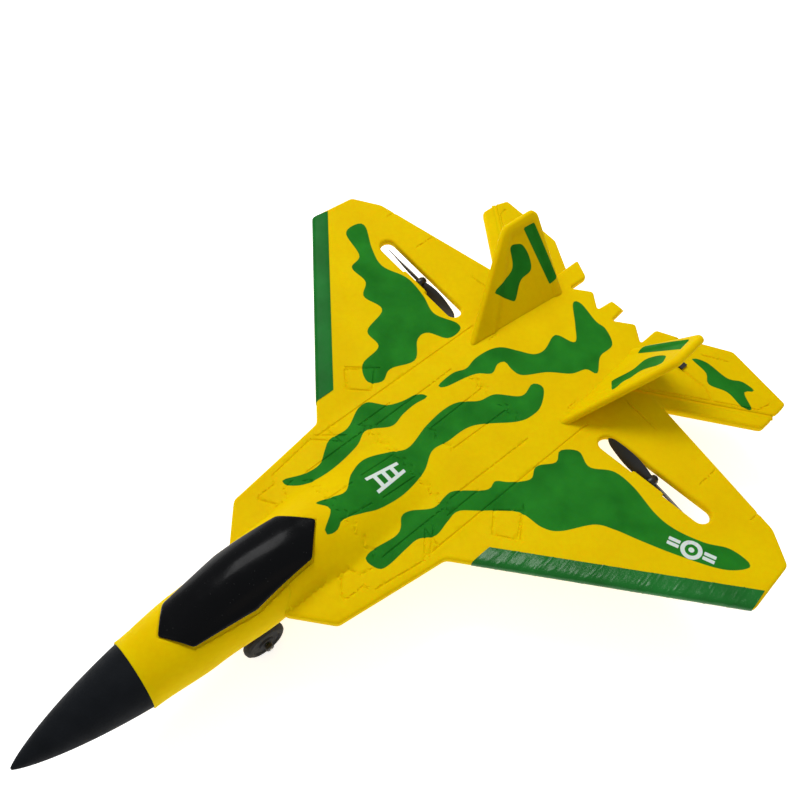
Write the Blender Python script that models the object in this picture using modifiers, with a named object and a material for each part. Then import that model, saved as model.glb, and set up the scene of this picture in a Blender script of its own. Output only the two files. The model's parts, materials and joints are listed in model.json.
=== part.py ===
"""Twin-motor foam jet: a park-flyer model with the nose towards -Y and its left wing towards +X.

The design frame has its zero at the root of the wing's leading edge, on the top of the foam board.
Everything hangs from one empty, which puts the ground under the wheels at Z = 0 and the middle of
the aircraft's length at Y = 0. Lengths below are in millimetres and are turned into metres by mm().
"""

import math

import bmesh
import bpy
from mathutils import Matrix, Vector

# ---------------------------------------------------------------- driving dimensions, millimetres
NOSE_Y = -238.5
TAIL_Y = 244.0
BOARD = 6.0
EDGE_ROUND = 1.6
WING_ROOT_X = 57.0
WING_BACK_Y = 172.7
DIHEDRAL = 0.11
GAP = 0.3

CONE_BASE_Y = -168.0
NOSE_BACK_Y = -52.5
WATERLINE = -3.0
SEAM_RAKE = 0.15
CANOPY_THICK = 0.9

WHEEL_RADIUS = 13.5
WHEEL_WIDTH = 7.0
AXLE_Z = -38.0
WIRE_RADIUS = 0.8
NOSE_WHEEL = (17.0, -102.5)
MAIN_WHEEL = (40.0, 86.0)

MOTOR_X = 104.5
MOTOR_DEPTH = 5.8
SLOT_Y = 126.5
PROP_Y = 127.0
PROP_RADIUS = 36.0
PROP_TILT = 9.0
SLOT_HALF_LENGTH = 40.0
SLOT_HALF_WIDTH = 5.5

HINGE_A = (48.0, 165.5)
HINGE_B = (125.6, 221.1)
HINGE_DEPTH = 0.6
DROOP_RIGHT = 20.0

FIN_LEAD = (42.0, 118.0)
FIN_TRAIL = (34.5, 197.0)
FIN_CANT = math.radians(36.5)
FIN_THICK = 5.0

POD_HALF_WIDTH = 33.0
POD_BOTTOM = -25.0
POD_Y = (-52.1, 150.0)
BATTERY_Y = (-38.0, 8.0)
BATTERY_HALF = 13.0

ORIGIN = Vector((0.0, -(NOSE_Y + TAIL_Y) / 2, WHEEL_RADIUS - AXLE_Z)) * 0.001

# Half of the board's outline, from the notch round the nose back to the tail; mirrored for the other.
HALF_BOARD = [
    (27.6, -52.0),
    (27.6, -88.3),
    (49.8, -70.1),
    (59.9, 0.0),
    (192.9, 100.7),
    (190.0, 134.5),
    (171.6, 148.0),
    (75.6, WING_BACK_Y),
    (126.0, 208.8),
    (125.8, 220.3),
    (46.6, 163.5),
    (46.6, 226.8),
    (31.5, 219.6),
    (32.0, 203.4),
    (19.2, 213.2),
    (6.5, 203.5),
    (5.0, 218.9),
]
ELEVATOR = [(49.0, 167.2), (125.6, 222.1), (124.8, 235.0), (77.3, 244.0), (49.0, 228.0)]
TONGUE_HALF_WIDTH = 11.0
TONGUE_REACH = 1.8
ARM_RATIO = 1.3
ROD_X = 59.0


# ---------------------------------------------------------------- helpers
def mm(*values):
    """A length, or a point, from millimetres to metres."""
    metres = [value * 0.001 for value in values]
    return metres[0] if len(metres) == 1 else Vector(metres)


def lift(x):
    """How far the dihedral raises the wing at the distance x from the middle."""
    return DIHEDRAL * max(0.0, abs(x) - WING_ROOT_X)


def clear_scene():
    for obj in list(bpy.data.objects):
        bpy.data.objects.remove(obj, do_unlink=True)


def collection(name):
    made = bpy.data.collections.new(name)
    bpy.context.scene.collection.children.link(made)
    return made


def material(name, colour, roughness, metallic=0.0):
    made = bpy.data.materials.new(name)
    made.use_nodes = True
    shader = made.node_tree.nodes["Principled BSDF"]
    shader.inputs["Base Color"].default_value = (*colour, 1.0)
    shader.inputs["Roughness"].default_value = roughness
    shader.inputs["Metallic"].default_value = metallic
    return made


def joint_empty(name, place, rotation=None):
    """An empty on a joint's axis, in the design frame."""
    empty = bpy.data.objects.new(name, None)
    PARTS.objects.link(empty)
    empty.parent = DATUM
    empty.location = place
    if rotation is not None:
        empty.matrix_basis = Matrix.Translation(place) @ rotation.to_4x4()
    return empty


def own(obj, finish, parent=None):
    """Gives a finished object its material and hangs it from its joint, or from the datum."""
    obj.data.materials.clear()
    obj.data.materials.append(finish)
    obj.parent = DATUM
    if parent is not None:
        obj.matrix_basis = parent.matrix_basis.inverted() @ obj.matrix_basis
        obj.parent = parent
    return obj


def from_bmesh(name, mesh, helper=False):
    bmesh.ops.recalc_face_normals(mesh, faces=mesh.faces)
    data = bpy.data.meshes.new(name)
    mesh.to_mesh(data)
    mesh.free()
    obj = bpy.data.objects.new(name, data)
    (CUTTERS if helper else PARTS).objects.link(obj)
    if helper:
        obj.hide_render = True
        obj.display_type = "WIRE"
        obj.parent = DATUM
    return obj


def box(name, low, high, helper=False):
    """A box between two corners given in millimetres."""
    mesh = bmesh.new()
    size = [b - a for a, b in zip(low, high)]
    middle = [(a + b) / 2 for a, b in zip(low, high)]
    place = Matrix.Translation(mm(*middle)) @ Matrix.Diagonal((*mm(*size), 1.0))
    bmesh.ops.create_cube(mesh, size=1.0, matrix=place)
    return from_bmesh(name, mesh, helper)


def outline_solid(name, points, bottom, top, helper=False):
    """A flat outline, in millimetres, as a 2D curve made into a closed mesh."""
    curve = bpy.data.curves.new(name, "CURVE")
    curve.dimensions = "2D"
    curve.fill_mode = "BOTH"
    curve.extrude = mm((top - bottom) / 2)
    spline = curve.splines.new("POLY")
    spline.points.add(len(points) - 1)
    for point, (x, y) in zip(spline.points, points):
        point.co = (*mm(x, y), 0.0, 1.0)
    spline.use_cyclic_u = True
    guide = bpy.data.objects.new(name + "_curve", curve)
    bpy.context.scene.collection.objects.link(guide)
    graph = bpy.context.evaluated_depsgraph_get()
    data = bpy.data.meshes.new_from_object(guide.evaluated_get(graph))
    bpy.data.objects.remove(guide, do_unlink=True)
    mesh = bmesh.new()
    mesh.from_mesh(data)
    bmesh.ops.remove_doubles(mesh, verts=mesh.verts, dist=1e-6)
    bmesh.ops.translate(mesh, vec=(0, 0, mm((top + bottom) / 2)), verts=mesh.verts)
    return from_bmesh(name, mesh, helper)


def mirrored(points):
    return points + [(-x, y) for x, y in reversed(points)]


def tube(name, points, radius, finish, parent=None, sides=2):
    """A wire or a lead: a curve with a round bevel and closed ends."""
    curve = bpy.data.curves.new(name, "CURVE")
    curve.dimensions = "3D"
    curve.bevel_depth = mm(radius)
    curve.bevel_resolution = sides
    curve.use_fill_caps = True
    spline = curve.splines.new("POLY")
    spline.points.add(len(points) - 1)
    for point, place in zip(spline.points, points):
        point.co = (*mm(*place), 1.0)
    obj = bpy.data.objects.new(name, curve)
    PARTS.objects.link(obj)
    return own(obj, finish, parent)


def turned(name, profile, place, axis, finish, parent=None, steps=20):
    """A turned solid: the profile holds (radius, height) from the top down, turned about the axis."""
    data = bpy.data.meshes.new(name)
    corners = [(mm(radius), 0.0, mm(height)) for radius, height in profile]
    data.from_pydata(corners, [(i, i + 1) for i in range(len(corners) - 1)], [])
    obj = bpy.data.objects.new(name, data)
    PARTS.objects.link(obj)
    screw = obj.modifiers.new("Turn", "SCREW")
    screw.steps = screw.render_steps = steps
    screw.use_merge_vertices = True
    screw.merge_threshold = 1e-6
    turn = Vector((0, 0, 1)).rotation_difference(Vector(axis)).to_matrix().to_4x4()
    obj.matrix_basis = Matrix.Translation(mm(*place)) @ turn
    return own(obj, finish, parent)


def turned_cutter(name, profile, place, axis, steps=20):
    """A turned solid that only takes part in Booleans."""
    obj = turned(name, profile, place, axis, STEEL, steps=steps)
    PARTS.objects.unlink(obj)
    CUTTERS.objects.link(obj)
    obj.hide_render = True
    obj.display_type = "WIRE"
    return obj


def disc_profile(radius, low, high, edge):
    """The profile of a drum from its top to its bottom, with its two rims rounded by a chamfer."""
    return [(0, high), (radius - edge, high), (radius, high - edge),
            (radius, low + edge), (radius - edge, low), (0, low)]


def ring_profile(outer, inner, low, high, edge):
    """The closed profile of a drum with a bore."""
    return [(inner, high), (outer - edge, high), (outer, high - edge),
            (outer, low + edge), (outer - edge, low), (inner, low), (inner, high)]


def loft(name, rings, helper=False):
    """A closed skin through rings of equally many points, with an end face on the first and the last."""
    mesh = bmesh.new()
    rows = [[mesh.verts.new(mm(*point)) for point in ring] for ring in rings]
    count = len(rows[0])
    for near, far in zip(rows, rows[1:]):
        for i in range(count):
            j = (i + 1) % count
            mesh.faces.new((near[i], near[j], far[j], far[i]))
    mesh.faces.new(rows[0])
    mesh.faces.new(list(reversed(rows[-1])))
    return from_bmesh(name, mesh, helper)


def boolean(obj, cutter, operation="DIFFERENCE"):
    step = obj.modifiers.new(cutter.name, "BOOLEAN")
    step.operation = operation
    step.object = cutter
    return obj


def bevel(obj, width, segments=2, angle=35.0):
    step = obj.modifiers.new("Round", "BEVEL")
    step.width = mm(width)
    step.segments = segments
    step.limit_method = "ANGLE"
    step.angle_limit = math.radians(angle)
    return obj


def side_name(side):
    return "left" if side > 0 else "right"


# ---------------------------------------------------------------- nose surfaces
def along(y, table):
    """A smooth value between the stations of a short table of (y, value)."""
    if y <= table[0][0]:
        return table[0][1]
    for (y0, v0), (y1, v1) in zip(table, table[1:]):
        if y <= y1:
            t = (y - y0) / (y1 - y0)
            return v0 + (v1 - v0) * t * t * (3 - 2 * t)
    return table[-1][1]


NOSE_WIDTH = [(CONE_BASE_Y, 20.6), (-130.0, 23.6), (-90.0, 26.2), (NOSE_BACK_Y, 27.0)]
NOSE_TOP = [(CONE_BASE_Y, 16.8), (-147.0, 19.6), (-85.0, 20.4), (NOSE_BACK_Y, 19.4)]
NOSE_BOTTOM = [(CONE_BASE_Y, 20.0), (-120.0, 21.4), (NOSE_BACK_Y, 22.0)]


def nose_ring(y, grow=0.0, top_extra=0.0, rake=0.0, points=24):
    """One cross-section of the nose: an oval, fuller below than above."""
    half = along(y, NOSE_WIDTH) + grow
    up = along(y, NOSE_TOP) - WATERLINE + grow + top_extra
    down = along(y, NOSE_BOTTOM) + WATERLINE + grow
    ring = []
    for i in range(points):
        turn = 2 * math.pi * i / points
        c, s = math.cos(turn), math.sin(turn)
        power = 1.0 if s >= 0 else 0.85
        x = half * math.copysign(abs(c) ** power, c)
        z = WATERLINE + (up if s >= 0 else down) * s
        ring.append((x, y + rake * (z - WATERLINE), z))
    return ring


def nose_stations(first, last, count):
    return [first + (last - first) * i / (count - 1) for i in range(count)]


SPINE_WIDTH = [(-58.0, 24.0), (-40.0, 26.5), (5.0, 27.0), (48.0, 20.0)]
SPINE_TOP = [(-58.0, 16.5), (-45.0, 17.8), (48.0, 0.8)]


def spine_ring(y, points=13):
    """A hump with a flat foot just above the board: the ridge that fades out behind the canopy."""
    half, top = along(y, SPINE_WIDTH), along(y, SPINE_TOP)
    ring = []
    for i in range(points):
        across = 1.0 - 2.0 * i / (points - 1)
        ring.append((half * across, y, GAP + 0.2 + top * (1.0 - across * across) ** 1.2))
    return ring + [(-half, y, GAP), (half, y, GAP)]


def nose_section():
    """The foam nose: it carries the canopy's seat above and a spigot that the cone slips over."""
    rings = [nose_ring(y, rake=SEAM_RAKE if i == 0 else 0.0)
             for i, y in enumerate(nose_stations(CONE_BASE_Y + 4.0, NOSE_BACK_Y, 9))]
    body = loft("nose_section", rings)
    spine = loft("nose_spine", [spine_ring(y) for y in nose_stations(-58.0, 48.0, 10)], helper=True)
    boolean(body, spine, "UNION")
    spigot = loft("nose_spigot", [nose_ring(y, grow=-grow) for y, grow in
                                  ((CONE_BASE_Y - 12.0, 6.4), (CONE_BASE_Y + 12.0, 3.4))], helper=True)
    boolean(body, spigot, "UNION")
    seat = canopy_prism("canopy_seat", 0.4)
    boolean(seat, loft("canopy_seat_floor", canopy_rings(-0.5), helper=True))
    boolean(body, seat)
    own(body, YELLOW_FOAM)


def canopy_rings(offset):
    return [nose_ring(y, grow=offset, top_extra=canopy_bulge(y))
            for y in nose_stations(-156.0, -38.0, 13)]


def canopy_bulge(y):
    """The canopy stands above the nose's own line, most of all at its middle."""
    t = (y + 146.0) / (146.0 - 45.0)
    return 5.5 * math.sin(math.pi * min(1.0, max(0.0, t)))


def canopy_prism(name, grow):
    """The six-sided outline of the canopy, pointed in front and behind, as an upright prism."""
    outline = [(0.0, -147.5 - grow), (15.3 + grow, -136.3), (20.2 + grow, -100.0), (16.8 + grow, -60.5),
               (0.0, -45.0 + grow)]
    return outline_solid(name, outline + [(-x, y) for x, y in reversed(outline[1:-1])], 2.0, 40.0, True)


def canopy():
    """A thin glossy shell that sits on the foam inside a shallow rebate."""
    shell = loft("canopy", canopy_rings(CANOPY_THICK - 0.2))
    boolean(shell, loft("canopy_inside", canopy_rings(-0.2), helper=True))
    boolean(shell, canopy_prism("canopy_outline", 0.0), "INTERSECT")
    own(shell, BLACK_GLOSS)


def cone_ring(t, grow=0.0):
    """The cone's section at the fraction t from its base (0) to its blunt tip (1)."""
    size = (1.0 - 0.99 * t) ** 0.78 * (1.0 + 0.28 * t)
    y = CONE_BASE_Y + (NOSE_Y - CONE_BASE_Y) * t
    base = nose_ring(CONE_BASE_Y, grow=-0.9 + grow)
    drop = 1.0 * t
    rake = SEAM_RAKE * (1 - t)
    return [(x * size, y + rake * (z - WATERLINE) * size, WATERLINE + (z - WATERLINE) * size + drop)
            for x, _, z in base]


def nose_cone():
    """The soft black cone, hollow behind so that it slips over the spigot."""
    stations = [0.0, 0.2, 0.4, 0.58, 0.74, 0.87, 0.95, 1.0]
    cone = loft("nose_cone", [[(x, y + 3.6, z) for x, y, z in cone_ring(0.0)]]
                + [cone_ring(t) for t in stations[1:]])
    bore = [[(x * 0.93, y, z) for x, y, z in cone_ring(0.0, -1.6)],
            [(x, y, z) for x, y, z in cone_ring(0.22, -1.8)]]
    back = [[(x, y + 12.0, z) for x, y, z in bore[0]]]
    boolean(cone, loft("cone_bore", back + bore, helper=True))
    own(cone, BLACK_SOFT)


# ---------------------------------------------------------------- foam board, tail and pod
def slot_outline(side, grow=0.0):
    """The long opening that a propeller turns in, with round ends and the motor's tongue in front."""
    radius = SLOT_HALF_WIDTH + grow
    reach = SLOT_HALF_LENGTH - SLOT_HALF_WIDTH
    points = []
    for end, start in ((1, -90), (-1, 90)):
        for k in range(9):
            turn = math.radians(start + 22.5 * k)
            x = MOTOR_X + end * reach + radius * math.cos(turn)
            points.append((x, SLOT_Y + radius * math.sin(turn)))
    front = SLOT_Y - radius
    for x, y in ((-TONGUE_HALF_WIDTH - 1, 0), (-TONGUE_HALF_WIDTH, TONGUE_REACH),
                 (TONGUE_HALF_WIDTH, TONGUE_REACH), (TONGUE_HALF_WIDTH + 1, 0)):
        points.append((MOTOR_X + x, front + y))
    return [(side * x, y) for x, y in points]


def bend_wings(obj):
    """Splits the board along both wing roots and behind the wings, then raises the wings."""
    mesh = bmesh.new()
    mesh.from_mesh(obj.data)
    cuts = [((mm(WING_ROOT_X), 0, 0), (1, 0, 0)), ((-mm(WING_ROOT_X), 0, 0), (1, 0, 0)),
            ((0, mm(WING_BACK_Y), 0), (0, 1, 0))]
    for place, normal in cuts:
        everything = mesh.verts[:] + mesh.edges[:] + mesh.faces[:]
        bmesh.ops.bisect_plane(mesh, geom=everything, plane_co=place, plane_no=normal)
    for vert in mesh.verts:
        if vert.co.y < mm(WING_BACK_Y + 0.1):
            vert.co.z += mm(lift(vert.co.x * 1000))
    bmesh.ops.triangulate(mesh, faces=[face for face in mesh.faces if len(face.verts) > 4])
    mesh.to_mesh(obj.data)
    mesh.free()


def foam_board():
    """Wings, strakes and tail booms in one moulded foam board, cut for the propellers and the gear."""
    board = outline_solid("foam_board", mirrored(HALF_BOARD), -BOARD, 0.0)
    bevel_mesh(board, EDGE_ROUND)
    bend_wings(board)
    for side in (1, -1):
        name = side_name(side)
        boolean(board, outline_solid("slot_" + name, slot_outline(side), -30.0, 30.0, helper=True))
        motor_x = side * MOTOR_X
        top = lift(MOTOR_X) - MOTOR_DEPTH + 4.55
        boolean(board, box("motor_bed_" + name, (motor_x - 6.6, 97.0, -30.0),
                           (motor_x + 6.6, PROP_Y - 2.0, top), helper=True))
        boolean(board, box("servo_bed_" + name, (side * 52.0 - 5.4, 131.6, -30.0),
                           (side * 52.0 + 5.4, 154.6, -2.6), helper=True))
    own(board, YELLOW_FOAM)


def fin(side):
    """A canted foam fin that stands on the board, trimmed level along its foot."""
    name = side_name(side)
    toe = math.atan2(FIN_TRAIL[0] - FIN_LEAD[0], FIN_TRAIL[1] - FIN_LEAD[1])
    length = math.hypot(FIN_TRAIL[0] - FIN_LEAD[0], FIN_TRAIL[1] - FIN_LEAD[1])
    outline = [(-4.0, -4.5), (length, -4.5), (length - 1.0, 60.0), (length - 5.0, 62.0), (50.0, 60.5),
               (46.5, 57.5)]
    plate = outline_solid("fin_" + name, outline, -FIN_THICK / 2, FIN_THICK / 2)
    bevel_mesh(plate, EDGE_ROUND)
    along_base = Vector((math.sin(toe), math.cos(toe), 0.0))
    out = Vector((math.cos(toe), -math.sin(toe), 0.0))
    up = out * math.sin(FIN_CANT) + Vector((0, 0, 1)) * math.cos(FIN_CANT)
    face = along_base.cross(up)
    frame = Matrix((along_base, up, face)).transposed().to_4x4()
    mirror = Matrix.Diagonal((side, 1, 1, 1))
    place = mirror @ Matrix.Translation(mm(*FIN_LEAD, 0.0)) @ frame
    mesh = bmesh.new()
    mesh.from_mesh(plate.data)
    mesh.transform(place)
    everything = mesh.verts[:] + mesh.edges[:] + mesh.faces[:]
    cut = bmesh.ops.bisect_plane(mesh, geom=everything, plane_co=(0, 0, mm(GAP)), plane_no=(0, 0, 1),
                                 clear_inner=True)
    rim = [item for item in cut["geom_cut"] if isinstance(item, bmesh.types.BMEdge)]
    bmesh.ops.edgenet_fill(mesh, edges=rim)
    bmesh.ops.recalc_face_normals(mesh, faces=mesh.faces)
    mesh.to_mesh(plate.data)
    mesh.free()
    own(plate, YELLOW_FOAM)


def bevel_mesh(obj, width):
    """Rounds the rim of a flat plate in its own mesh, before the plate is turned into place."""
    mesh = bmesh.new()
    mesh.from_mesh(obj.data)
    flat = [edge for edge in mesh.edges if len(edge.link_faces) == 2
            and edge.calc_face_angle(0.0) > math.radians(60)
            and abs(edge.verts[0].co.z - edge.verts[1].co.z) < 1e-7]
    bmesh.ops.bevel(mesh, geom=flat, offset=mm(width), segments=2, profile=0.5, affect="EDGES")
    mesh.to_mesh(obj.data)
    mesh.free()


def elevator(side):
    """The tail surface behind its hinge line; its front face leans back to leave room to turn down."""
    name = side_name(side)
    plate = outline_solid("elevator_" + name, [(side * x, y) for x, y in ELEVATOR], -BOARD + 0.4, 0.0)
    hinge_dir = Vector((HINGE_B[0] - HINGE_A[0], HINGE_B[1] - HINGE_A[1], 0)).normalized()
    back = Vector((-hinge_dir.y, hinge_dir.x, 0))
    for vert in plate.data.vertices:
        ahead = (Vector((abs(vert.co.x), vert.co.y, 0)) - mm(*HINGE_A, 0)).dot(back)
        if vert.co.z < mm(-1) and ahead < mm(4):
            vert.co += Vector((side * back.x, back.y, 0)) * mm(2.6)
    axis = Vector((hinge_dir.x, side * hinge_dir.y, 0))
    turn = Matrix.Rotation(math.radians(-DROOP_RIGHT) if side < 0 else 0.0, 3, axis)
    pivot = mm(side * HINGE_A[0], HINGE_A[1], -HINGE_DEPTH)
    hinge = joint_empty("hinge_" + name, pivot)
    own(plate, YELLOW_FOAM, hinge)
    horn(side, hinge)
    hinge.matrix_basis = Matrix.Translation(pivot) @ turn.to_4x4()


def horn(side, hinge):
    """The control horn: a pad on top, a stem through the foam and a blade with the rod's hole below."""
    name = side_name(side)
    x, y = side * 61.2, 208.2
    blade = box("control_horn_" + name, (x - 0.6, y - 5.0, -16.0), (x + 0.6, y + 1.5, -BOARD + 0.1))
    pad = box("horn_pad_" + name, (x - 3.0, y - 6.0, -BOARD - 0.8), (x + 3.0, y + 3.5, -BOARD + 0.1),
              helper=True)
    boolean(blade, pad, "UNION")
    own(pad, BLACK_PLASTIC, hinge)
    own(blade, BLACK_PLASTIC, hinge)
    cap = box("horn_backing_" + name, (x - 3.2, y - 2.6, GAP), (x + 3.2, y + 2.6, GAP + 1.2))
    own(cap, BLACK_PLASTIC, hinge)


def belly_pod():
    """The lower foam fairing, with the battery bay open below and the electronics bay open above."""
    def ring(y, half, bottom):
        top = -BOARD - GAP
        edge = min(6.0, half / 3)
        return [(half, y, top), (half, y, bottom + edge), (half - edge * 0.35, y, bottom + edge * 0.35),
                (half - edge, y, bottom), (-half + edge, y, bottom),
                (-half + edge * 0.35, y, bottom + edge * 0.35), (-half, y, bottom + edge), (-half, y, top)]
    stations = [(POD_Y[0], 26.0, -21.5), (-20.0, 30.0, POD_BOTTOM), (30.0, POD_HALF_WIDTH, POD_BOTTOM),
                (105.0, POD_HALF_WIDTH, POD_BOTTOM), (POD_Y[1], 27.0, -13.0)]
    pod = loft("belly_pod", [ring(*station) for station in stations])
    half = BATTERY_HALF + 1.2
    boolean(pod, box("battery_bay", (-half, BATTERY_Y[0] - 1.5, -40.0), (half, BATTERY_Y[1] + 7.0, -9.5),
                     helper=True))
    boolean(pod, box("hatch_rebate", (-half - 2.4, BATTERY_Y[0] - 4.6, -40.0),
                     (half + 2.4, BATTERY_Y[1] + 10.0, POD_BOTTOM + 2.2), helper=True))
    boolean(pod, box("electronics_bay", (-20.0, 24.0, -18.0), (20.0, 62.0, 0.0), helper=True))
    boolean(pod, box("switch_bay", (-7.2, 63.4, -40.0), (7.2, 68.0, 0.0), helper=True))
    boolean(pod, box("spar_groove", (-40.0, 79.7, -8.8), (40.0, 84.3, 0.0), helper=True))
    own(pod, YELLOW_FOAM)


# ---------------------------------------------------------------- power
def battery():
    low = (-BATTERY_HALF, BATTERY_Y[0], -20.6)
    high = (BATTERY_HALF, BATTERY_Y[1], -10.6)
    own(bevel(box("battery", low, high), 1.2), BATTERY_WRAP)
    plug = box("battery_plug", (-5.0, BATTERY_Y[1] + 0.4, -18.2), (5.0, BATTERY_Y[1] + 6.4, -13.0))
    own(plug, WHITE_PLASTIC)


def battery_hatch():
    """The belly door, hinged along its front edge and held by a turning latch behind."""
    half = BATTERY_HALF + 3.2
    front, rear = BATTERY_Y[0] - 5.2, BATTERY_Y[1] + 9.6
    z = POD_BOTTOM + 1.0
    pin = joint_empty("hatch_hinge", mm(0.0, front + 1.2, POD_BOTTOM))
    door = bevel(box("battery_hatch", (-half, front + 1.4, z - 1.0), (half, rear, z + 0.9)), 0.5)
    own(door, BLACK_PLASTIC, pin)
    latch_y = rear + 3.2
    post = turned("hatch_latch", disc_profile(3.4, -2.0, -0.3, 0.4), (0.0, latch_y, POD_BOTTOM), (0, 0, 1),
                  BLACK_PLASTIC, joint_empty("latch_axis", mm(0.0, latch_y, POD_BOTTOM)), steps=16)
    tab = box("latch_tab", (-2.0, 0.0, -2.0), (2.0, 6.2, -0.7), helper=True)
    tab.matrix_basis = Matrix.Translation(mm(0.0, latch_y, POD_BOTTOM))
    boolean(post, tab, "UNION")


def electronics():
    own(box("control_board", (-17.0, 27.0, -17.4), (17.0, 59.0, -15.8)), CIRCUIT_GREEN)
    own(box("receiver_can", (-9.0, 32.0, -15.5), (9.0, 48.0, -12.4)), STEEL)
    own(box("motor_socket", (-15.0, 52.0, -15.5), (-4.0, 57.5, -11.5)), WHITE_PLASTIC)
    own(box("servo_socket", (4.0, 52.0, -15.5), (15.0, 57.5, -11.5)), WHITE_PLASTIC)
    tube("antenna", [(0.0, 31.6, -14.0), (0.0, 28.5, -13.6), (3.0, 26.5, -13.0), (12.0, 26.0, -12.0),
                     (18.0, 27.5, -11.0)], 0.45, BLACK_PLASTIC)
    own(box("switch_body", (-6.4, 63.8, POD_BOTTOM + 0.6), (6.4, 67.6, POD_BOTTOM + 6.0)), BLACK_PLASTIC)
    slide = joint_empty("switch_slide", mm(-1.6, 65.7, POD_BOTTOM))
    knob = box("power_switch", (-3.2, 64.7, POD_BOTTOM - 1.8), (0.0, 66.7, POD_BOTTOM + 0.3))
    own(knob, WHITE_PLASTIC, slide)


# ---------------------------------------------------------------- motors and propellers
def blade_ring(radius, handed):
    """One section of a blade, across its length at this radius: narrow root, wide middle, round tip."""
    t = (radius - 3.0) / (PROP_RADIUS - 3.0)
    chord = 3.2 + 6.6 * math.sin(math.pi * min(1.0, 0.10 + 0.86 * t)) ** 0.8 * (1.0 - 0.25 * t)
    pitch = math.radians(50.0 - 26.0 * t) * handed
    thick = 1.5 - 0.8 * t
    ring = []
    for u, v in ((-0.5, 0.0), (-0.25, 0.5), (0.15, 0.5), (0.5, 0.0), (0.15, -0.3), (-0.25, -0.3)):
        across, through = u * chord, v * thick
        y = across * math.sin(pitch) + through * math.cos(pitch)
        z = across * math.cos(pitch) - through * math.sin(pitch)
        ring.append((radius, y, z))
    return ring


def propeller(side):
    """Two blades on a boss that is pressed on the motor's shaft, and the shaft that turns with it."""
    name = side_name(side)
    centre = mm(side * MOTOR_X, PROP_Y, lift(MOTOR_X) - MOTOR_DEPTH)
    tilt = Matrix.Rotation(math.radians(PROP_TILT), 3, "Y")
    axis = joint_empty("prop_axis_" + name, centre, tilt)
    radii = [1.2, 5.0, 9.0, 14.0, 20.0, 27.0, 32.5, PROP_RADIUS - 1.0, PROP_RADIUS]
    rings = []
    for radius in radii:
        ring = blade_ring(max(radius, 3.0), -side)
        if radius == radii[-1]:
            middle = [sum(point[k] for point in ring) / len(ring) for k in range(3)]
            ring = [tuple(m + 0.35 * (p - m) for p, m in zip(point, middle)) for point in ring]
        rings.append([(radius, y, z) for _, y, z in ring])
    blades = []
    for way in (1, -1):
        sections = [[(way * x, y, way * z) for x, y, z in ring] for ring in rings]
        blade = loft(f"blade_{name}_{way}", sections, helper=True)
        blade.matrix_basis = axis.matrix_basis.copy()
        blades.append(blade)
    place = tuple(value * 1000 for value in centre)
    boss = turned("propeller_" + name, ring_profile(3.2, 0.7, -2.6, 2.6, 0.5), place, (0, 1, 0),
                  BLACK_PLASTIC, axis, steps=16)
    for blade in blades:
        boolean(boss, blade, "UNION")
    bore = disc_profile(0.75, -6.0, 2.0, 0.05)
    boolean(boss, turned_cutter("prop_bore_" + name, bore, place, (0, 1, 0), steps=12))
    turned("motor_shaft_" + name, disc_profile(0.45, -11.0, 1.6, 0.1), place, (0, 1, 0), STEEL, axis,
           steps=12)
    turned("spinner_" + name, [(0, 4.7), (1.4, 4.5), (2.3, 3.9), (2.6, 3.2), (2.6, 2.9), (0, 2.9)], place,
           (0, 1, 0), BLACK_PLASTIC, axis, steps=16)


def motor(side):
    """A coreless motor's can in a plastic cradle, which is glued under the board."""
    name = side_name(side)
    x, z = side * MOTOR_X, lift(MOTOR_X) - MOTOR_DEPTH
    rear = PROP_Y - 5.0
    turned("motor_" + name, ring_profile(4.25, 0.8, 0.0, 20.0, 0.4), (x, rear - 20.0, z), (0, 1, 0), STEEL,
           None, 20)
    cradle = turned("motor_cradle_" + name, ring_profile(5.6, 4.55, 3.0, 17.0, 0.2), (x, rear - 20.0, z),
                    (0, 1, 0), BLACK_PLASTIC, None, 20)
    foot = box("cradle_foot_" + name, (x - 11.0, rear - 16.0, z - 5.8), (x + 11.0, rear - 4.0, z - 4.2),
               helper=True)
    bed = turned_cutter("cradle_bore_" + name, disc_profile(4.55, -2.0, 24.0, 0.1), (x, rear - 20.0, z),
                        (0, 1, 0))
    mouth = box("cradle_mouth_" + name, (x - 8.0, rear - 24.0, z + 2.6), (x + 8.0, rear + 4.0, z + 9.0),
                helper=True)
    boolean(cradle, foot, "UNION")
    boolean(cradle, bed)
    boolean(cradle, mouth)


# ---------------------------------------------------------------- servos and rods
def linkage(side):
    """A micro servo under the wing root, its arm, and the rod that runs back beside the horn."""
    name = side_name(side)
    x = side * 52.0
    body = bevel(box("servo_" + name, (x - 4.4, 132.6, -21.0), (x + 4.4, 153.6, -3.0)), 0.5, 1)
    own(body, BLUE_PLASTIC)
    droop = math.radians(DROOP_RIGHT) if side < 0 else 0.0
    axis_place = (side * 58.0, 147.0, -12.0)
    arm_turn = Matrix.Rotation(-ARM_RATIO * droop, 3, "X")
    axis = joint_empty("servo_axis_" + name, mm(*axis_place), arm_turn)
    arm = box("servo_arm_" + name, (-0.6, -2.4, -9.6), (0.6, 2.4, 2.4))
    hub = box("servo_spline_" + name, (-side * 0.9 - 0.5, -1.4, -1.4), (-side * 0.9 + 0.5, 1.4, 1.4),
              helper=True)
    for piece in (arm, hub):
        piece.matrix_basis = axis.matrix_basis.copy()
    own(bevel(boolean(arm, hub, "UNION"), 0.2, 1), WHITE_PLASTIC, axis)
    pin = axis.matrix_basis @ mm(side * 1.9, 0.0, -8.0)
    rod_axis = joint_empty("rod_axis_" + name, pin)
    end = elevator_point(side, (side * ROD_X, 205.0, -13.4))
    bends = (pin + Vector((0, mm(-1.5), 0)), pin, pin + (end - pin) * 0.97)
    tube("pushrod_" + name, [tuple(v * 1000 for v in bend) for bend in bends], 0.5, STEEL, rod_axis)


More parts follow.
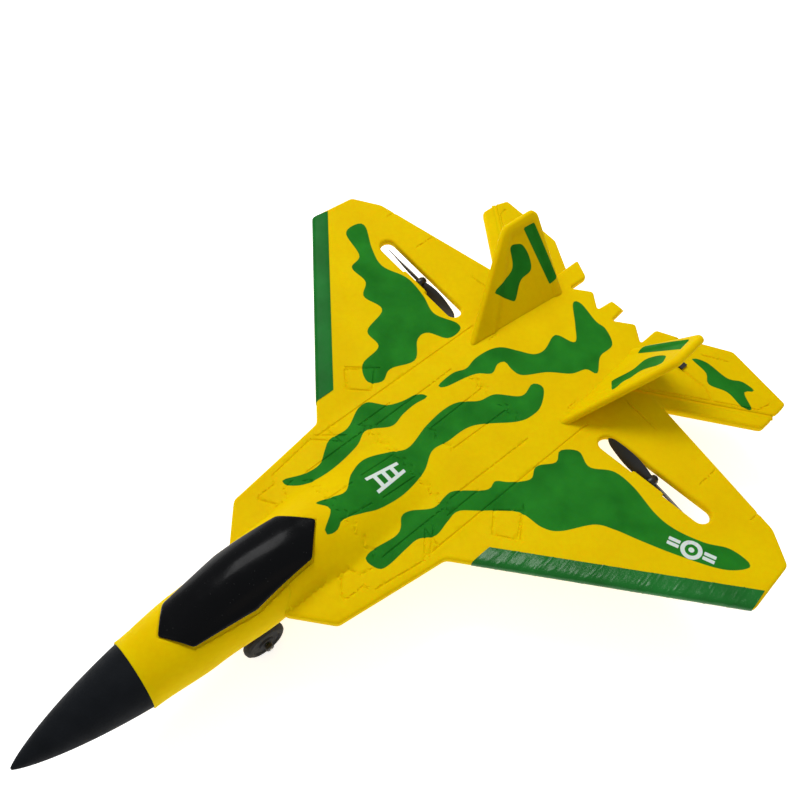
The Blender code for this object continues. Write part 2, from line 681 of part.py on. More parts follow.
def elevator_point(side, place):
    """Where a point fixed to the elevator at neutral lies with the right elevator's droop applied."""
    hinge_dir = Vector((HINGE_B[0] - HINGE_A[0], side * (HINGE_B[1] - HINGE_A[1]), 0)).normalized()
    turn = Matrix.Rotation(math.radians(-DROOP_RIGHT) if side < 0 else 0.0, 3, hinge_dir)
    pivot = mm(side * HINGE_A[0], HINGE_A[1], -HINGE_DEPTH)
    return pivot + turn @ (mm(*place) - pivot)


def leads():
    """The leads lie flat under the foam, from the electronics bay out to the motors and servos."""
    for side in (1, -1):
        name = side_name(side)
        top = -BOARD - 1.3
        route = [(34.2, 44.0, top), (48.0, 52.0, top), (57.0, 60.0, top), (74.0, 76.0, top + lift(74.0)),
                 (90.0, 90.0, top + lift(90.0)), (99.0, 95.5, top + lift(99.0)),
                 (104.0, 98.6, top + lift(104.0) + 0.6)]
        tube("motor_lead_" + name, [(side * x, y, z) for x, y, z in route], 0.9, BLACK_PLASTIC)
        route = [(34.2, 58.0, top), (42.0, 70.0, top), (48.0, 88.0, top), (51.5, 108.0, top),
                 (52.0, 128.0, top), (52.0, 132.0, top)]
        tube("servo_lead_" + name, [(side * x, y, z) for x, y, z in route], 0.9, BLACK_PLASTIC)


# ---------------------------------------------------------------- landing gear
def gear_wire(name, points, plate_low, plate_high):
    own(box(name + "_plate", plate_low, plate_high), BLACK_PLASTIC)
    tube(name + "_wire", points, WIRE_RADIUS, STEEL, sides=3)


def landing_gear():
    """Bent-wire gear on glued plates: a twin-wheel leg under the nose and one pair behind the middle."""
    x, y = NOSE_WHEEL
    belly = -21.9
    plate = (-9.0, y - 8.0, belly - 1.6), (9.0, y + 8.0, belly)
    wire = belly - 1.6 - GAP - WIRE_RADIUS
    reach = x + WHEEL_WIDTH / 2 + 4.0
    leg = [(-reach, y, AXLE_Z), (-9.0, y, AXLE_Z), (-7.6, y, AXLE_Z + 1.0), (-6.6, y, wire - 1.3),
           (-5.4, y, wire), (5.4, y, wire), (6.6, y, wire - 1.3), (7.6, y, AXLE_Z + 1.0), (9.0, y, AXLE_Z),
           (reach, y, AXLE_Z)]
    gear_wire("nose_gear", leg, *plate)
    x, y = MAIN_WHEEL
    plate = (-14.0, y - 9.0, POD_BOTTOM - 2.1), (14.0, y + 9.0, POD_BOTTOM - GAP)
    reach = x + WHEEL_WIDTH / 2 + 4.0
    inner = x - WHEEL_WIDTH / 2 - 3.5
    leg = [(-reach, y, AXLE_Z), (-inner, y, AXLE_Z), (-inner + 2.0, y, AXLE_Z + 1.2), (-14.0, y, -29.2),
           (-11.5, y, -28.3), (11.5, y, -28.3), (14.0, y, -29.2), (inner - 2.0, y, AXLE_Z + 1.2),
           (inner, y, AXLE_Z), (reach, y, AXLE_Z)]
    gear_wire("main_gear", leg, *plate)
    for gear, (x, y) in (("nose", NOSE_WHEEL), ("main", MAIN_WHEEL)):
        for side in (1, -1):
            wheel(gear, side, x, y)


def wheel(gear, side, x, y):
    """A soft foam wheel on the bare wire, kept on by a pressed collar outside."""
    name = f"{gear}_wheel_{side_name(side)}"
    axis = joint_empty(name + "_axis", mm(side * x, y, AXLE_Z))
    half = WHEEL_WIDTH / 2
    profile = [(1.2, half), (4.6, half), (5.2, half - 1.0), (8.6, half - 1.0), (9.6, half - 0.2),
               (WHEEL_RADIUS - 2.0, half - 0.4), (WHEEL_RADIUS - 0.5, half - 1.6), (WHEEL_RADIUS, 0.0)]
    profile = profile + [(radius, -height) for radius, height in reversed(profile[:-1])] + [profile[0]]
    turned(name, profile, (side * x, y, AXLE_Z), (1, 0, 0), BLACK_SOFT, axis, steps=32)
    outer = side * (x + half + 2.2)
    collar = ring_profile(2.6, 1.1, -1.5, 1.5, 0.4)
    turned(name.replace("wheel", "collar"), collar, (outer, y, AXLE_Z), (1, 0, 0),
           BLACK_PLASTIC, None, steps=16)


# ---------------------------------------------------------------- edge tape and spar
def edge_tape(side):
    """Green film folded round the wing's leading edge, a thin channel from root to tip."""
    name = side_name(side)
    root, tip = Vector((71.8, 9.0)), Vector((191.9, 99.9))
    run = (tip - root).normalized()
    back = Vector((-run.y, run.x))
    film = 0.35

    over, under = GAP, -BOARD - GAP
    near = [(11.2, over), (1.5, over), (0.2, -0.2), (-GAP, -1.5), (-GAP, 1.5 - BOARD), (0.2, 0.2 - BOARD),
            (1.5, under), (9.0, under)]
    far = [(9.0, under - film), (1.3, under - film), (-0.05, -0.05 - BOARD), (-GAP - film, 1.3 - BOARD),
           (-GAP - film, -1.3), (-0.05, 0.05), (1.3, over + film), (11.2, over + film)]

    def ring(place):
        section = []
        for offset, depth in near + far:
            x = place.x + back.x * offset
            section.append((side * x, place.y + back.y * offset, lift(x) + depth))
        return section

    tape = loft("leading_edge_tape_" + name, [ring(root), ring(tip)])
    own(tape, GREEN_FILM)


def spar():
    """A flat carbon strip under the board that stiffens the wing's middle, clear of the pod's bays."""
    reach = POD_HALF_WIDTH - 1.0
    strip = box("wing_spar", (-reach, 80.0, -BOARD - 2.4), (reach, 84.0, -BOARD - 0.9))
    own(strip, CARBON)


# ---------------------------------------------------------------- assembly
clear_scene()
PARTS = collection("foam_jet")
CUTTERS = collection("cutters")
DATUM = bpy.data.objects.new("datum", None)
PARTS.objects.link(DATUM)
DATUM.location = ORIGIN

YELLOW_FOAM = material("yellow_foam", (0.78, 0.52, 0.0), 0.75)
BLACK_SOFT = material("black_soft_plastic", (0.012, 0.014, 0.018), 0.55)
BLACK_GLOSS = material("black_gloss_plastic", (0.006, 0.006, 0.007), 0.15)
BLACK_PLASTIC = material("black_plastic", (0.010, 0.010, 0.010), 0.4)
WHITE_PLASTIC = material("white_plastic", (0.75, 0.75, 0.72), 0.4)
BLUE_PLASTIC = material("blue_plastic", (0.02, 0.05, 0.30), 0.35)
GREEN_FILM = material("green_film", (0.01, 0.17, 0.02), 0.2)
CIRCUIT_GREEN = material("circuit_green", (0.01, 0.12, 0.05), 0.4)
BATTERY_WRAP = material("battery_wrap", (0.03, 0.10, 0.35), 0.3)
STEEL = material("steel", (0.60, 0.60, 0.60), 0.3, 1.0)
CARBON = material("carbon_strip", (0.02, 0.02, 0.02), 0.45)

foam_board()
nose_section()
canopy()
nose_cone()
belly_pod()
battery()
battery_hatch()
electronics()
spar()
leads()
landing_gear()
for wing_side in (1, -1):
    fin(wing_side)
    elevator(wing_side)
    edge_tape(wing_side)
    motor(wing_side)
    propeller(wing_side)
    linkage(wing_side)
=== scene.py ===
"""The looks of the foam jet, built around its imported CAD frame.

Lengths are in millimetres in the design frame: x to the left wing, y to the tail, z up."""

import json
import math

import bmesh
import bpy
import numpy as np
from mathutils import Matrix, Vector, noise
from mathutils.geometry import delaunay_2d_cdt


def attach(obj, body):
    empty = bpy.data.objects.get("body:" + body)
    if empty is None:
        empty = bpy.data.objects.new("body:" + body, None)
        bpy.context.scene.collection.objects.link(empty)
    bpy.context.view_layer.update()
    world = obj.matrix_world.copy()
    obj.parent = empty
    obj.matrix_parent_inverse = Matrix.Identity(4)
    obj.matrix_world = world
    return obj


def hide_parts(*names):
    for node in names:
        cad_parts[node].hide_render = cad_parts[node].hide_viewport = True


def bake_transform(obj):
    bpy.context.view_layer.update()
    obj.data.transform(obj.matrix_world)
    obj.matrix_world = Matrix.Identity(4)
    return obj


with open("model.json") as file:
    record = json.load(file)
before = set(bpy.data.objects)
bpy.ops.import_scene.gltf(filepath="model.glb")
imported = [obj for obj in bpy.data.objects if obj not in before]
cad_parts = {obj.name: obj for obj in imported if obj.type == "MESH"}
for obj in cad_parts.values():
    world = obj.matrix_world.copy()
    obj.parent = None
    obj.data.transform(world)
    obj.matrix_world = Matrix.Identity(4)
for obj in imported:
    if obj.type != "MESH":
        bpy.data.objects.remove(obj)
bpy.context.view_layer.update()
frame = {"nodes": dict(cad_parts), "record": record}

# ---------------------------------------------------------------- design frame
NOSE_Y, TAIL_Y = -238.5, 244.0
WHEEL_FOOT = -51.5
SHIFT = np.array([0.0, -(NOSE_Y + TAIL_Y) / 2, -WHEEL_FOOT])
BOARD = 6.0
WING_ROOT_X = 57.0
WING_BACK_Y = 172.7
DIHEDRAL = 0.11
EDGE_ROUND = 1.9
CONE_BASE_Y = -168.0
NOSE_BACK_Y = -52.5
WATERLINE = -3.0
SEAM_RAKE = 0.15
MOTOR_X, MOTOR_DEPTH = 104.5, 5.8
SLOT_Y, PROP_Y = 126.5, 127.0
SLOT_HALF_LENGTH, SLOT_HALF_WIDTH = 40.0, 5.5
TONGUE_HALF_WIDTH, TONGUE_REACH = 11.0, 1.8
PROP_RADIUS = 36.0
PROP_TILT = math.radians(9.0)
HINGE_A, HINGE_B = (48.0, 165.5), (125.6, 221.1)
HINGE_DEPTH = 0.6
WEB_HALF_WIDTH = 2.6
DROOP = {1: 0.0, -1: -math.radians(20.0)}
FIN_LEAD, FIN_TRAIL = (42.0, 118.0), (34.5, 197.0)
FIN_CANT = math.radians(36.5)
FIN_THICK = 5.0

HALF_BOARD = [
    (8.0, -80.0), (21.0, -80.0), (26.4, -89.3), (49.8, -70.1), (59.9, 0.0), (192.9, 100.7), (190.0, 134.5),
    (171.6, 148.0), (75.6, 172.7), (126.0, 208.8), (125.8, 220.3), (46.6, 163.5), (46.6, 226.8),
    (31.5, 219.6), (32.0, 203.4), (19.2, 213.2), (6.5, 203.5), (5.0, 218.9)]
ELEVATOR = [(49.0, 167.2), (125.6, 222.1), (124.8, 235.0), (77.3, 244.0), (49.0, 228.0)]
CANOPY_HALF = [(0.0, -147.5), (15.3, -136.3), (20.2, -100.0), (16.8, -60.5), (0.0, -45.0)]

# Printed patches, as outlines in plan.
CAMO = [
    [(-168, 122), (-166, 110), (-145, 105), (-140, 94), (-125, 94), (-116, 85), (-100, 88), (-93, 69),
     (-79, 67), (-75, 50), (-63, 44), (-57, 52), (-61, 62), (-56, 79), (-67, 91), (-67, 100),
     (-55, 108), (-55, 119), (-61, 121), (-76, 114), (-92, 118), (-110, 119), (-128, 112), (-144, 116),
     (-162, 125)],
    [(-41, -40), (-36, -28), (-35, -17), (-41, -8), (-45, -1), (-44, 12), (-51, 26), (-51, 34),
     (-41, 42), (-37, 51), (-35, 62), (-29, 66), (-30, 56), (-29, 45), (-27, 34), (-35, 20), (-30, 8),
     (-27, -14), (-29, -30), (-36, -40)],
    [(-10, -38), (-8, -29), (-6, -19), (-15, -8), (-19, 5), (-13, 20), (-8, 31), (-13, 50), (-15, 66),
     (-13, 78), (-5, 89), (-2, 100), (10, 112), (8, 124), (15, 127), (23, 117), (25, 108), (22, 96),
     (6, 73), (4, 53), (3, 41), (11, 27), (15, 8), (14, -10), (11, -20), (8, -32), (11, -38),
     (11, -44), (8, -45), (-1, -34)],
    [(-31, 77), (-32, 91), (-29, 100), (-31, 110), (-30, 122), (-26, 130), (-17, 136), (-8, 142),
     (-6, 150), (-10, 162), (-8, 166), (3, 170), (-7, 181), (-21, 194), (-17, 198), (0, 194), (9, 194),
     (21, 187), (22, 174), (30, 162), (23, 159), (19, 149), (8, 138), (-1, 124), (-9, 122), (-16, 123),
     (-18, 118), (-15, 110), (-21, 103), (-24, 94), (-27, 80)],
    [(31, -35), (40, -33), (42, -27), (41, -13), (41, -4), (46, 5), (44, 16), (43, 25), (50, 34),
     (66, 51), (83, 54), (92, 60), (102, 77), (112, 83), (126, 88), (144, 95), (165, 105), (174, 113),
     (176, 120), (163, 120), (151, 113), (135, 108), (121, 108), (101, 113), (86, 113), (74, 105),
     (62, 109), (54, 101), (58, 93), (52, 82), (56, 73), (49, 62), (43, 56), (44, 48), (32, 33),
     (31, 26), (32, 16), (25, 5), (24, -2), (29, -7), (31, -13), (29, -28)],
    [(63, 218), (71, 223), (88, 223), (96, 228), (106, 228), (102, 222), (113, 215), (107, 212),
     (95, 214), (83, 210), (76, 216)],
    [(-54, 217), (-62, 222), (-78, 222), (-86, 227), (-95, 227), (-91, 221), (-101, 214), (-95, 211),
     (-84, 213), (-74, 209), (-67, 215)]]
FIN_BLOB = [(55, 46), (49, 46), (45, 32), (28, 25), (29, 21), (38, 12), (41, 12), (49, 22), (59, 25),
            (61, 34), (59, 43)]
FIN_STRIPE = [(63, 54), (72, 54), (77, 11), (70, 9)]

# Engraved panel lines on one half, in plan; each is mirrored.
GROOVES = [
    [(52, -4), (52, 128)], [(36, -26), (36, 19)], [(34, 28), (35, 92)], [(10, -4), (10, 20)],
    [(10, 53), (11, 96)], [(8, -32), (9, -12)], [(41, 19), (41, 44)],
    [(29, -53), (29, -46), (36, -43), (37, -37)], [(44, -45), (48, -42), (53, -10), (39, 3), (51, 2)],
    [(31, -53), (40, -59), (42, -57), (42, -47)], [(53, -6), (41, 8)],
    [(56, 42), (67, 30), (79, 38), (68, 54), (56, 42)], [(80, 40), (66, 57)],
    [(126, 143), (126, 156)], [(160, 144), (160, 151)], [(56, 160), (82, 156)], [(36, 128), (36, 134)]]
# Rows of small steps, each as (y, half height, first x, last x).
ZIGZAG_ROWS = [
    (22.5, 2.0, 0.0, 42.0), (-29.0, 2.0, 2.0, 34.0), (51.5, 1.2, 4.0, 14.0), (98.5, 2.0, 6.0, 20.0)]
TAIL_GROOVES = [
    [(66, 206), (83, 206), (95, 200)], [(66, 226), (80, 234)], [(60, 178), (116, 218), (118, 226)]]
DIMPLES = [(60, 18), (62, 63), (80, 78), (82, 92), (86, 64), (110, 93), (109, 72), (64, 92), (115, 155),
           (147, 108), (172, 130), (122, 75), (90, 66), (16, -6), (22, 60), (20, 140), (40, -60), (20, 180),
           (100, 218), (70, 190)]
GROOVE_HALF, GROOVE_DEPTH = 0.36, 0.7
RING_MARK, RING_HEADING = (149.0, 104.0), math.radians(18.0)
LADDER_MARK = (0.0, 7.0)
MARK_RADIUS = 14.5
OFF_PRINT = -30.0


def to_world(points):
    return (np.asarray(points, float) + SHIFT) / 1000.0


def lift(x):
    return DIHEDRAL * np.maximum(0.0, np.abs(x) - WING_ROOT_X)


def smooth_table(y, table):
    """Smooth steps between the stations of a short table of (y, value)."""
    y = np.asarray(y, float)
    value = np.full(y.shape, float(table[0][1]))
    for (y0, v0), (y1, v1) in zip(table, table[1:]):
        t = np.clip((y - y0) / (y1 - y0), 0.0, 1.0)
        value += (v1 - v0) * t * t * (3 - 2 * t)
    return value


def smooth_closed(points, step=1.2):
    """A closed Catmull-Rom curve through the points, sampled about every step."""
    points = np.asarray(points, float)
    out = []
    count = len(points)
    for i in range(count):
        p0, p1, p2, p3 = (points[(i + k) % count] for k in (-1, 0, 1, 2))
        parts = max(2, int(np.linalg.norm(p2 - p1) / step))
        for t in np.arange(parts) / parts:
            out.append(0.5 * (2 * p1 + (p2 - p0) * t + (2 * p0 - 5 * p1 + 4 * p2 - p3) * t * t
                              + (3 * p1 - p0 - 3 * p2 + p3) * t ** 3))
    return np.array(out)


def segment_distance(points, chain, closed=False):
    """How far each point is from a chain of straight segments."""
    chain = np.asarray(chain, float)
    ends = np.roll(chain, -1, axis=0) if closed else chain[1:]
    best = np.full(len(points), 1e9)
    for a, b in zip(chain, ends):
        run = b - a
        length = max(1e-9, float(run @ run))
        t = np.clip(((points - a) @ run) / length, 0.0, 1.0)
        gap = points - a - t[:, None] * run
        best = np.minimum(best, np.hypot(gap[:, 0], gap[:, 1]))
    return best


def inside(points, outline):
    """Which points lie inside a closed outline."""
    outline = np.asarray(outline, float)
    result = np.zeros(len(points), bool)
    for a, b in zip(outline, np.roll(outline, -1, axis=0)):
        if a[1] == b[1]:
            continue
        crosses = (a[1] > points[:, 1]) != (b[1] > points[:, 1])
        at = a[0] + (points[:, 1] - a[1]) * (b[0] - a[0]) / (b[1] - a[1])
        result ^= crosses & (points[:, 0] < at)
    return result


def print_field(points, outlines, smooth=True):
    """Signed distance to the nearest printed patch, positive inside, for each point in plan."""
    field = np.full(len(points), OFF_PRINT)
    for outline in outlines:
        curve = smooth_closed(outline) if smooth else np.asarray(outline, float)
        low, high = curve.min(0) - 6, curve.max(0) + 6
        near = np.all((points > low) & (points < high), axis=1)
        if near.any():
            here = points[near]
            gap = segment_distance(here, curve, closed=True)
            field[near] = np.maximum(field[near], np.where(inside(here, curve), gap, -gap))
    return field


def mirrored(chain):
    return [(-x, y) for x, y in chain]


def side_name(side):
    return "left" if side > 0 else "right"


# ---------------------------------------------------------------- mesh helpers
def mesh_object(name, points, faces, smooth=True, fields=None):
    """A mesh from design-frame points, with each field stored as a point attribute."""
    data = bpy.data.meshes.new(name)
    data.from_pydata([tuple(point) for point in to_world(points)], [], faces)
    data.update()
    if smooth:
        data.polygons.foreach_set("use_smooth", [True] * len(data.polygons))
    for field, values in (fields or {}).items():
        layer = data.attributes.new(field, "FLOAT", "POINT")
        layer.data.foreach_set("value", np.asarray(values, np.float32))
    obj = bpy.data.objects.new(name, data)
    bpy.context.scene.collection.objects.link(obj)
    return obj


def finish_piece(obj, body, finish, replaces=(), sharp=None):
    obj.data.materials.clear()
    obj.data.materials.append(finish)
    if sharp is not None:
        obj.data.set_sharp_from_angle(angle=math.radians(sharp))
    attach(obj, body)
    if replaces:
        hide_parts(*replaces)
    return obj


def tube_faces(rows, around, first=0):
    """Quads between rings of equally many points, and an end face on each end ring."""
    faces = []
    for row in range(rows - 1):
        for i in range(around):
            j = (i + 1) % around
            a, b = first + row * around, first + (row + 1) * around
            faces.append((a + i, a + j, b + j, b + i))
    faces.append(tuple(first + i for i in reversed(range(around))))
    faces.append(tuple(first + (rows - 1) * around + i for i in range(around)))
    return faces


def outward(obj):
    """Turns every face outwards."""
    mesh = bmesh.new()
    mesh.from_mesh(obj.data)
    bmesh.ops.recalc_face_normals(mesh, faces=mesh.faces)
    mesh.to_mesh(obj.data)
    mesh.free()
    return obj


def resample(outline, step):
    """Points along a closed outline, each corner kept."""
    outline = np.asarray(outline, float)
    out = []
    for a, b in zip(outline, np.roll(outline, -1, axis=0)):
        parts = max(1, int(math.ceil(np.linalg.norm(b - a) / step)))
        out += [a + (b - a) * k / parts for k in range(parts)]
    return np.array(out)


def rounded(outline, radius, parts=4):
    """The outline with each corner rounded off by a short arc."""
    outline = [np.asarray(p, float) for p in outline]
    out = []
    for i, corner in enumerate(outline):
        before, after = outline[i - 1], outline[(i + 1) % len(outline)]
        u, v = before - corner, after - corner
        reach = min(radius, 0.4 * np.linalg.norm(u), 0.4 * np.linalg.norm(v))
        start = corner + u / np.linalg.norm(u) * reach
        end = corner + v / np.linalg.norm(v) * reach
        for t in np.linspace(0, 1, parts + 1):
            out.append((1 - t) ** 2 * start + 2 * t * (1 - t) * corner + t * t * end)
    return np.array(out)


def edge_points(loops, edge):
    """Rows of points beside each loop, where the rim's rounding needs them."""
    found = []
    for loop in loops:
        ahead = np.roll(loop, -1, axis=0) - np.roll(loop, 1, axis=0)
        normal = np.c_[-ahead[:, 1], ahead[:, 0]]
        normal /= np.maximum(1e-9, np.linalg.norm(normal, axis=1))[:, None]
        for offset in (0.12, 0.4, 0.75, 1.0):
            for sign in (1, -1):
                row = loop + sign * normal * offset * edge
                gap = loop_distance(row, loops)
                found.append(row[region(row, loops) & (np.abs(gap - offset * edge) < 0.15 * edge)])
    return found


def disc_points(x, y, radius):
    spread = np.arange(-radius, radius, 0.45)
    return np.array([(x + u, y + v) for u in spread for v in spread if u * u + v * v < radius * radius])


def groove_points(chain):
    """Rows of points along a chain, close enough for a groove's walls and floor."""
    chain = np.asarray(chain, float)
    found = []
    for a, b in zip(chain, chain[1:]):
        run = b - a
        length = np.linalg.norm(run)
        side = np.array([-run[1], run[0]]) / length
        steps = np.linspace(0, 1, max(2, int(length / 2.0)))
        for across in (-2.1, -1.0, 0.0, 1.0, 2.1):
            found.append(a + steps[:, None] * run + side * across * GROOVE_HALF)
    return found


def lattice_points(loops, edge, grid):
    """A triangular lattice over the plate's inside, clear of its rims."""
    low, high = loops[0].min(0), loops[0].max(0)
    gx, gy = np.meshgrid(np.arange(low[0], high[0], grid), np.arange(low[1], high[1], grid * 0.87))
    gx = gx + (np.arange(gy.shape[0]) % 2)[:, None] * grid / 2
    lattice = np.c_[gx.ravel(), gy.ravel()]
    return lattice[region(lattice, loops) & (loop_distance(lattice, loops) > edge * 1.25)]


def plan_mesh(loops, edge, grid, chains, discs):
    """Points and triangles that fill the plan inside the loops, finer at rims, chains and discs."""
    rim, edges = [], []
    for loop in loops:
        start = len(rim)
        rim += list(loop)
        edges += [(start + i, start + (i + 1) % len(loop)) for i in range(len(loop))]
    keep = edge_points(loops, edge)
    keep += [disc_points(*disc) for disc in discs]
    for chain in chains:
        keep += groove_points(chain)
    taken = np.concatenate(keep)
    taken = taken[region(taken, loops) & (loop_distance(taken, loops) > 0.1 * edge)]
    cell = grid * 0.6
    cells = set(map(tuple, np.floor(taken / cell).astype(int)))
    free = [p for p in lattice_points(loops, edge, grid)
            if tuple(np.floor(p / cell).astype(int)) not in cells]
    inner = np.unique(np.round(np.concatenate([taken, np.array(free)]), 3), axis=0)
    everything = [Vector(p) for p in rim] + [Vector(p) for p in inner]
    verts, _, faces, _, _, _ = delaunay_2d_cdt(everything, edges, [], 0, 1e-4, False)
    flat = np.array([tuple(v) for v in verts])
    middles = np.array([flat[list(face)].mean(0) for face in faces])
    return flat, [tuple(face) for face, good in zip(faces, region(middles, loops)) if good]


def plate(name, outline, holes, top, bottom, grooves=(), field=None, edge=EDGE_ROUND, grid=2.4, place=None,
          fine=(), dense=()):
    """A moulded foam plate over a plan outline: rounded rims, engraved lines and a printed field.

    top and bottom give the heights of the two faces at points in plan; place moves the finished points.
    fine chains and dense discs (x, y, radius) only get closer points."""
    loops = [resample(outline, 2.0)] + [resample(hole, 1.6) for hole in holes]
    flat, faces = plan_mesh(loops, edge, grid, [*grooves, *fine], dense)
    gap = loop_distance(flat, loops)
    rise = np.clip(edge - gap, 0.0, edge)
    fall = edge - np.sqrt(np.maximum(0.0, edge * edge - rise * rise))
    carve = np.zeros(len(flat))
    for chain in grooves:
        near = segment_distance(flat, chain)
        carve = np.maximum(carve, GROOVE_DEPTH * np.clip(1.6 - near / GROOVE_HALF, 0.0, 1.0))
    upper = np.c_[flat, top(flat) - fall - carve]
    lower = np.c_[flat, bottom(flat) + fall]
    count = len(flat)
    joined = faces + [tuple(count + i for i in reversed(face)) for face in faces]
    used = {(a, b): True for face in faces for a, b in zip(face, face[1:] + face[:1])}
    joined += [(b, a, count + a, count + b) for a, b in used if (b, a) not in used]
    solid = np.concatenate([upper, lower])
    bare = np.full(count, OFF_PRINT)
    printed = field(flat) if field else bare
    if place is not None:
        solid = place(solid)
    return outward(mesh_object(name, solid, joined, fields={"printed": np.r_[printed, bare]}))


def loop_distance(points, loops):
    """How far each point is from the nearest loop."""
    return np.min([segment_distance(points, loop, closed=True) for loop in loops], axis=0)


def region(points, loops):
    """Inside the first loop and outside every other."""
    result = inside(points, loops[0])
    for hole in loops[1:]:
        result &= ~inside(points, hole)
    return result


# ---------------------------------------------------------------- materials
class Nodes:
    """A short way to write a node material."""

    def __init__(self, name):
        self.material = bpy.data.materials.new(name)
        self.material.use_nodes = True
        self.tree = self.material.node_tree
        self.shader = self.tree.nodes["Principled BSDF"]
        self.place = self.add("ShaderNodeTexCoord").outputs["Object"]

    def add(self, kind, **settings):
        node = self.tree.nodes.new(kind)
        for key, value in settings.items():
            setattr(node, key, value)
        return node

    def link(self, output, socket):
        self.tree.links.new(output, socket)

    def noise(self, scale, detail=3.0, rough=0.5):
        node = self.add("ShaderNodeTexNoise")
        node.inputs["Scale"].default_value = scale
        node.inputs["Detail"].default_value = detail
        node.inputs["Roughness"].default_value = rough
        self.link(self.place, node.inputs["Vector"])
        return node.outputs["Fac"]

    def cells(self, scale, smooth=None):
        node = self.add("ShaderNodeTexVoronoi", feature="SMOOTH_F1" if smooth else "F1")
        node.inputs["Scale"].default_value = scale
        if smooth:
            node.inputs["Smoothness"].default_value = smooth
        self.link(self.place, node.inputs["Vector"])
        return node.outputs["Distance"]

    def ramp(self, value, low, high, out_low, out_high):
        node = self.add("ShaderNodeMapRange")
        for key, number in (("From Min", low), ("From Max", high), ("To Min", out_low), ("To Max", out_high)):
            node.inputs[key].default_value = number
        self.link(value, node.inputs["Value"])
        return node.outputs["Result"]

    def mix(self, factor, first, second):
        node = self.add("ShaderNodeMix", data_type="RGBA")
        self.link(factor, node.inputs["Factor"])
        for socket, value in ((node.inputs["A"], first), (node.inputs["B"], second)):
            if isinstance(value, tuple):
                socket.default_value = (*value, 1.0)
            else:
                self.link(value, socket)
        return node.outputs["Result"]

    def colour(self, output):
        self.link(output, self.shader.inputs["Base Color"])

    def roughness(self, output):
        self.link(output, self.shader.inputs["Roughness"])

    def bump(self, heights, strengths, distances):
        normal = None
        for height, strength, distance in zip(heights, strengths, distances):
            node = self.add("ShaderNodeBump")
            node.inputs["Strength"].default_value = strength
            node.inputs["Distance"].default_value = distance
            self.link(height, node.inputs["Height"])
            if normal is not None:
                self.link(normal, node.inputs["Normal"])
            normal = node.outputs["Normal"]
        self.link(normal, self.shader.inputs["Normal"])

    def set(self, **values):
        for key, value in values.items():
            self.shader.inputs[key.replace("_", " ")].default_value = value


YELLOW, YELLOW_DEEP = (0.790, 0.560, 0.0), (0.745, 0.490, 0.0)
GREEN, GREEN_DEEP = (0.020, 0.215, 0.018), (0.012, 0.150, 0.012)


def foam_material(name, printed=True, white=False):
    """Moulded bead foam: soft cell marks, faint blotches, and patches of printed ink with clean edges."""
    m = Nodes(name)
    blotch = m.noise(28.0, 3.0)
    base = m.mix(m.ramp(blotch, 0.35, 0.7, 0.0, 0.8), YELLOW, YELLOW_DEEP)
    cells = m.cells(330.0, smooth=0.35)
    base = m.mix(m.ramp(cells, 0.35, 0.8, 0.0, 0.10), base, (0.62, 0.36, 0.0))
    if printed:
        attribute = m.add("ShaderNodeAttribute", attribute_name="printed")
        ink = m.mix(m.ramp(m.noise(60.0, 4.0), 0.3, 0.7, 0.0, 1.0), GREEN, GREEN_DEEP)
        edge = m.ramp(attribute.outputs["Fac"], -0.18, 0.18, 0.0, 1.0)
        base = m.mix(edge, base, ink)
    if white:
        mark = m.add("ShaderNodeAttribute", attribute_name="white")
        edge = m.ramp(mark.outputs["Fac"], -0.12, 0.12, 0.0, 1.0)
        base = m.mix(edge, base, (0.66, 0.74, 0.70))
    m.colour(base)
    m.roughness(m.ramp(m.noise(90.0, 3.0), 0.3, 0.7, 0.46, 0.60))
    m.set(Specular_IOR_Level=0.015, Subsurface_Weight=0.3, Subsurface_Radius=(1.0, 0.32, 0.02),
          Subsurface_Scale=0.004)
    m.bump([m.cells(330.0, smooth=0.35), m.noise(900.0, 3.0)], [0.10, 0.06], [0.0006, 0.0003])
    return m.material


def plain_material(name, colour, second, rough, scale=400.0, metallic=0.0, grain=0.0002, coat=0.0):
    """A plastic or metal with slight colour and gloss variation and a fine grain."""
    m = Nodes(name)
    m.colour(m.mix(m.ramp(m.noise(scale * 0.2, 4.0), 0.3, 0.7, 0.0, 1.0), colour, second))
    m.roughness(m.ramp(m.noise(scale * 0.35, 5.0), 0.3, 0.7, rough[0], rough[1]))
    m.set(Metallic=metallic, Coat_Weight=coat)
    m.bump([m.noise(scale * 3.0, 4.0)], [0.15], [grain])
    return m.material


def cone_material():
    """Soft black foam skin: fine pores and a broad dull sheen."""
    m = Nodes("cone_black")
    m.colour(m.mix(m.ramp(m.noise(70.0, 4.0), 0.35, 0.7, 0.0, 1.0), (0.0050, 0.0062, 0.0080),
                   (0.0080, 0.0095, 0.0120)))
    m.roughness(m.ramp(m.noise(200.0, 4.0), 0.3, 0.7, 0.50, 0.66))
    m.set(Specular_IOR_Level=0.06)
    m.bump([m.cells(900.0, smooth=0.4), m.noise(2600.0, 3.0)], [0.22, 0.20], [0.0003, 0.0002])
    return m.material


def canopy_material():
    """Vacuum-formed glossy sheet, a little wavy, with dust specks."""
    m = Nodes("canopy_gloss")
    dust = m.cells(420.0)
    specks = m.ramp(dust, 0.03, 0.06, 1.0, 0.0)
    m.colour(m.mix(specks, (0.0035, 0.0038, 0.0045), (0.10, 0.10, 0.10)))
    m.roughness(m.ramp(m.noise(130.0, 5.0, 0.65), 0.3, 0.7, 0.16, 0.30))
    m.set(Specular_IOR_Level=0.055, Coat_Weight=0.02, Coat_Roughness=0.06)
    m.bump([m.noise(55.0, 2.0), m.noise(700.0, 4.0)], [0.10, 0.12], [0.0010, 0.0002])
    return m.material


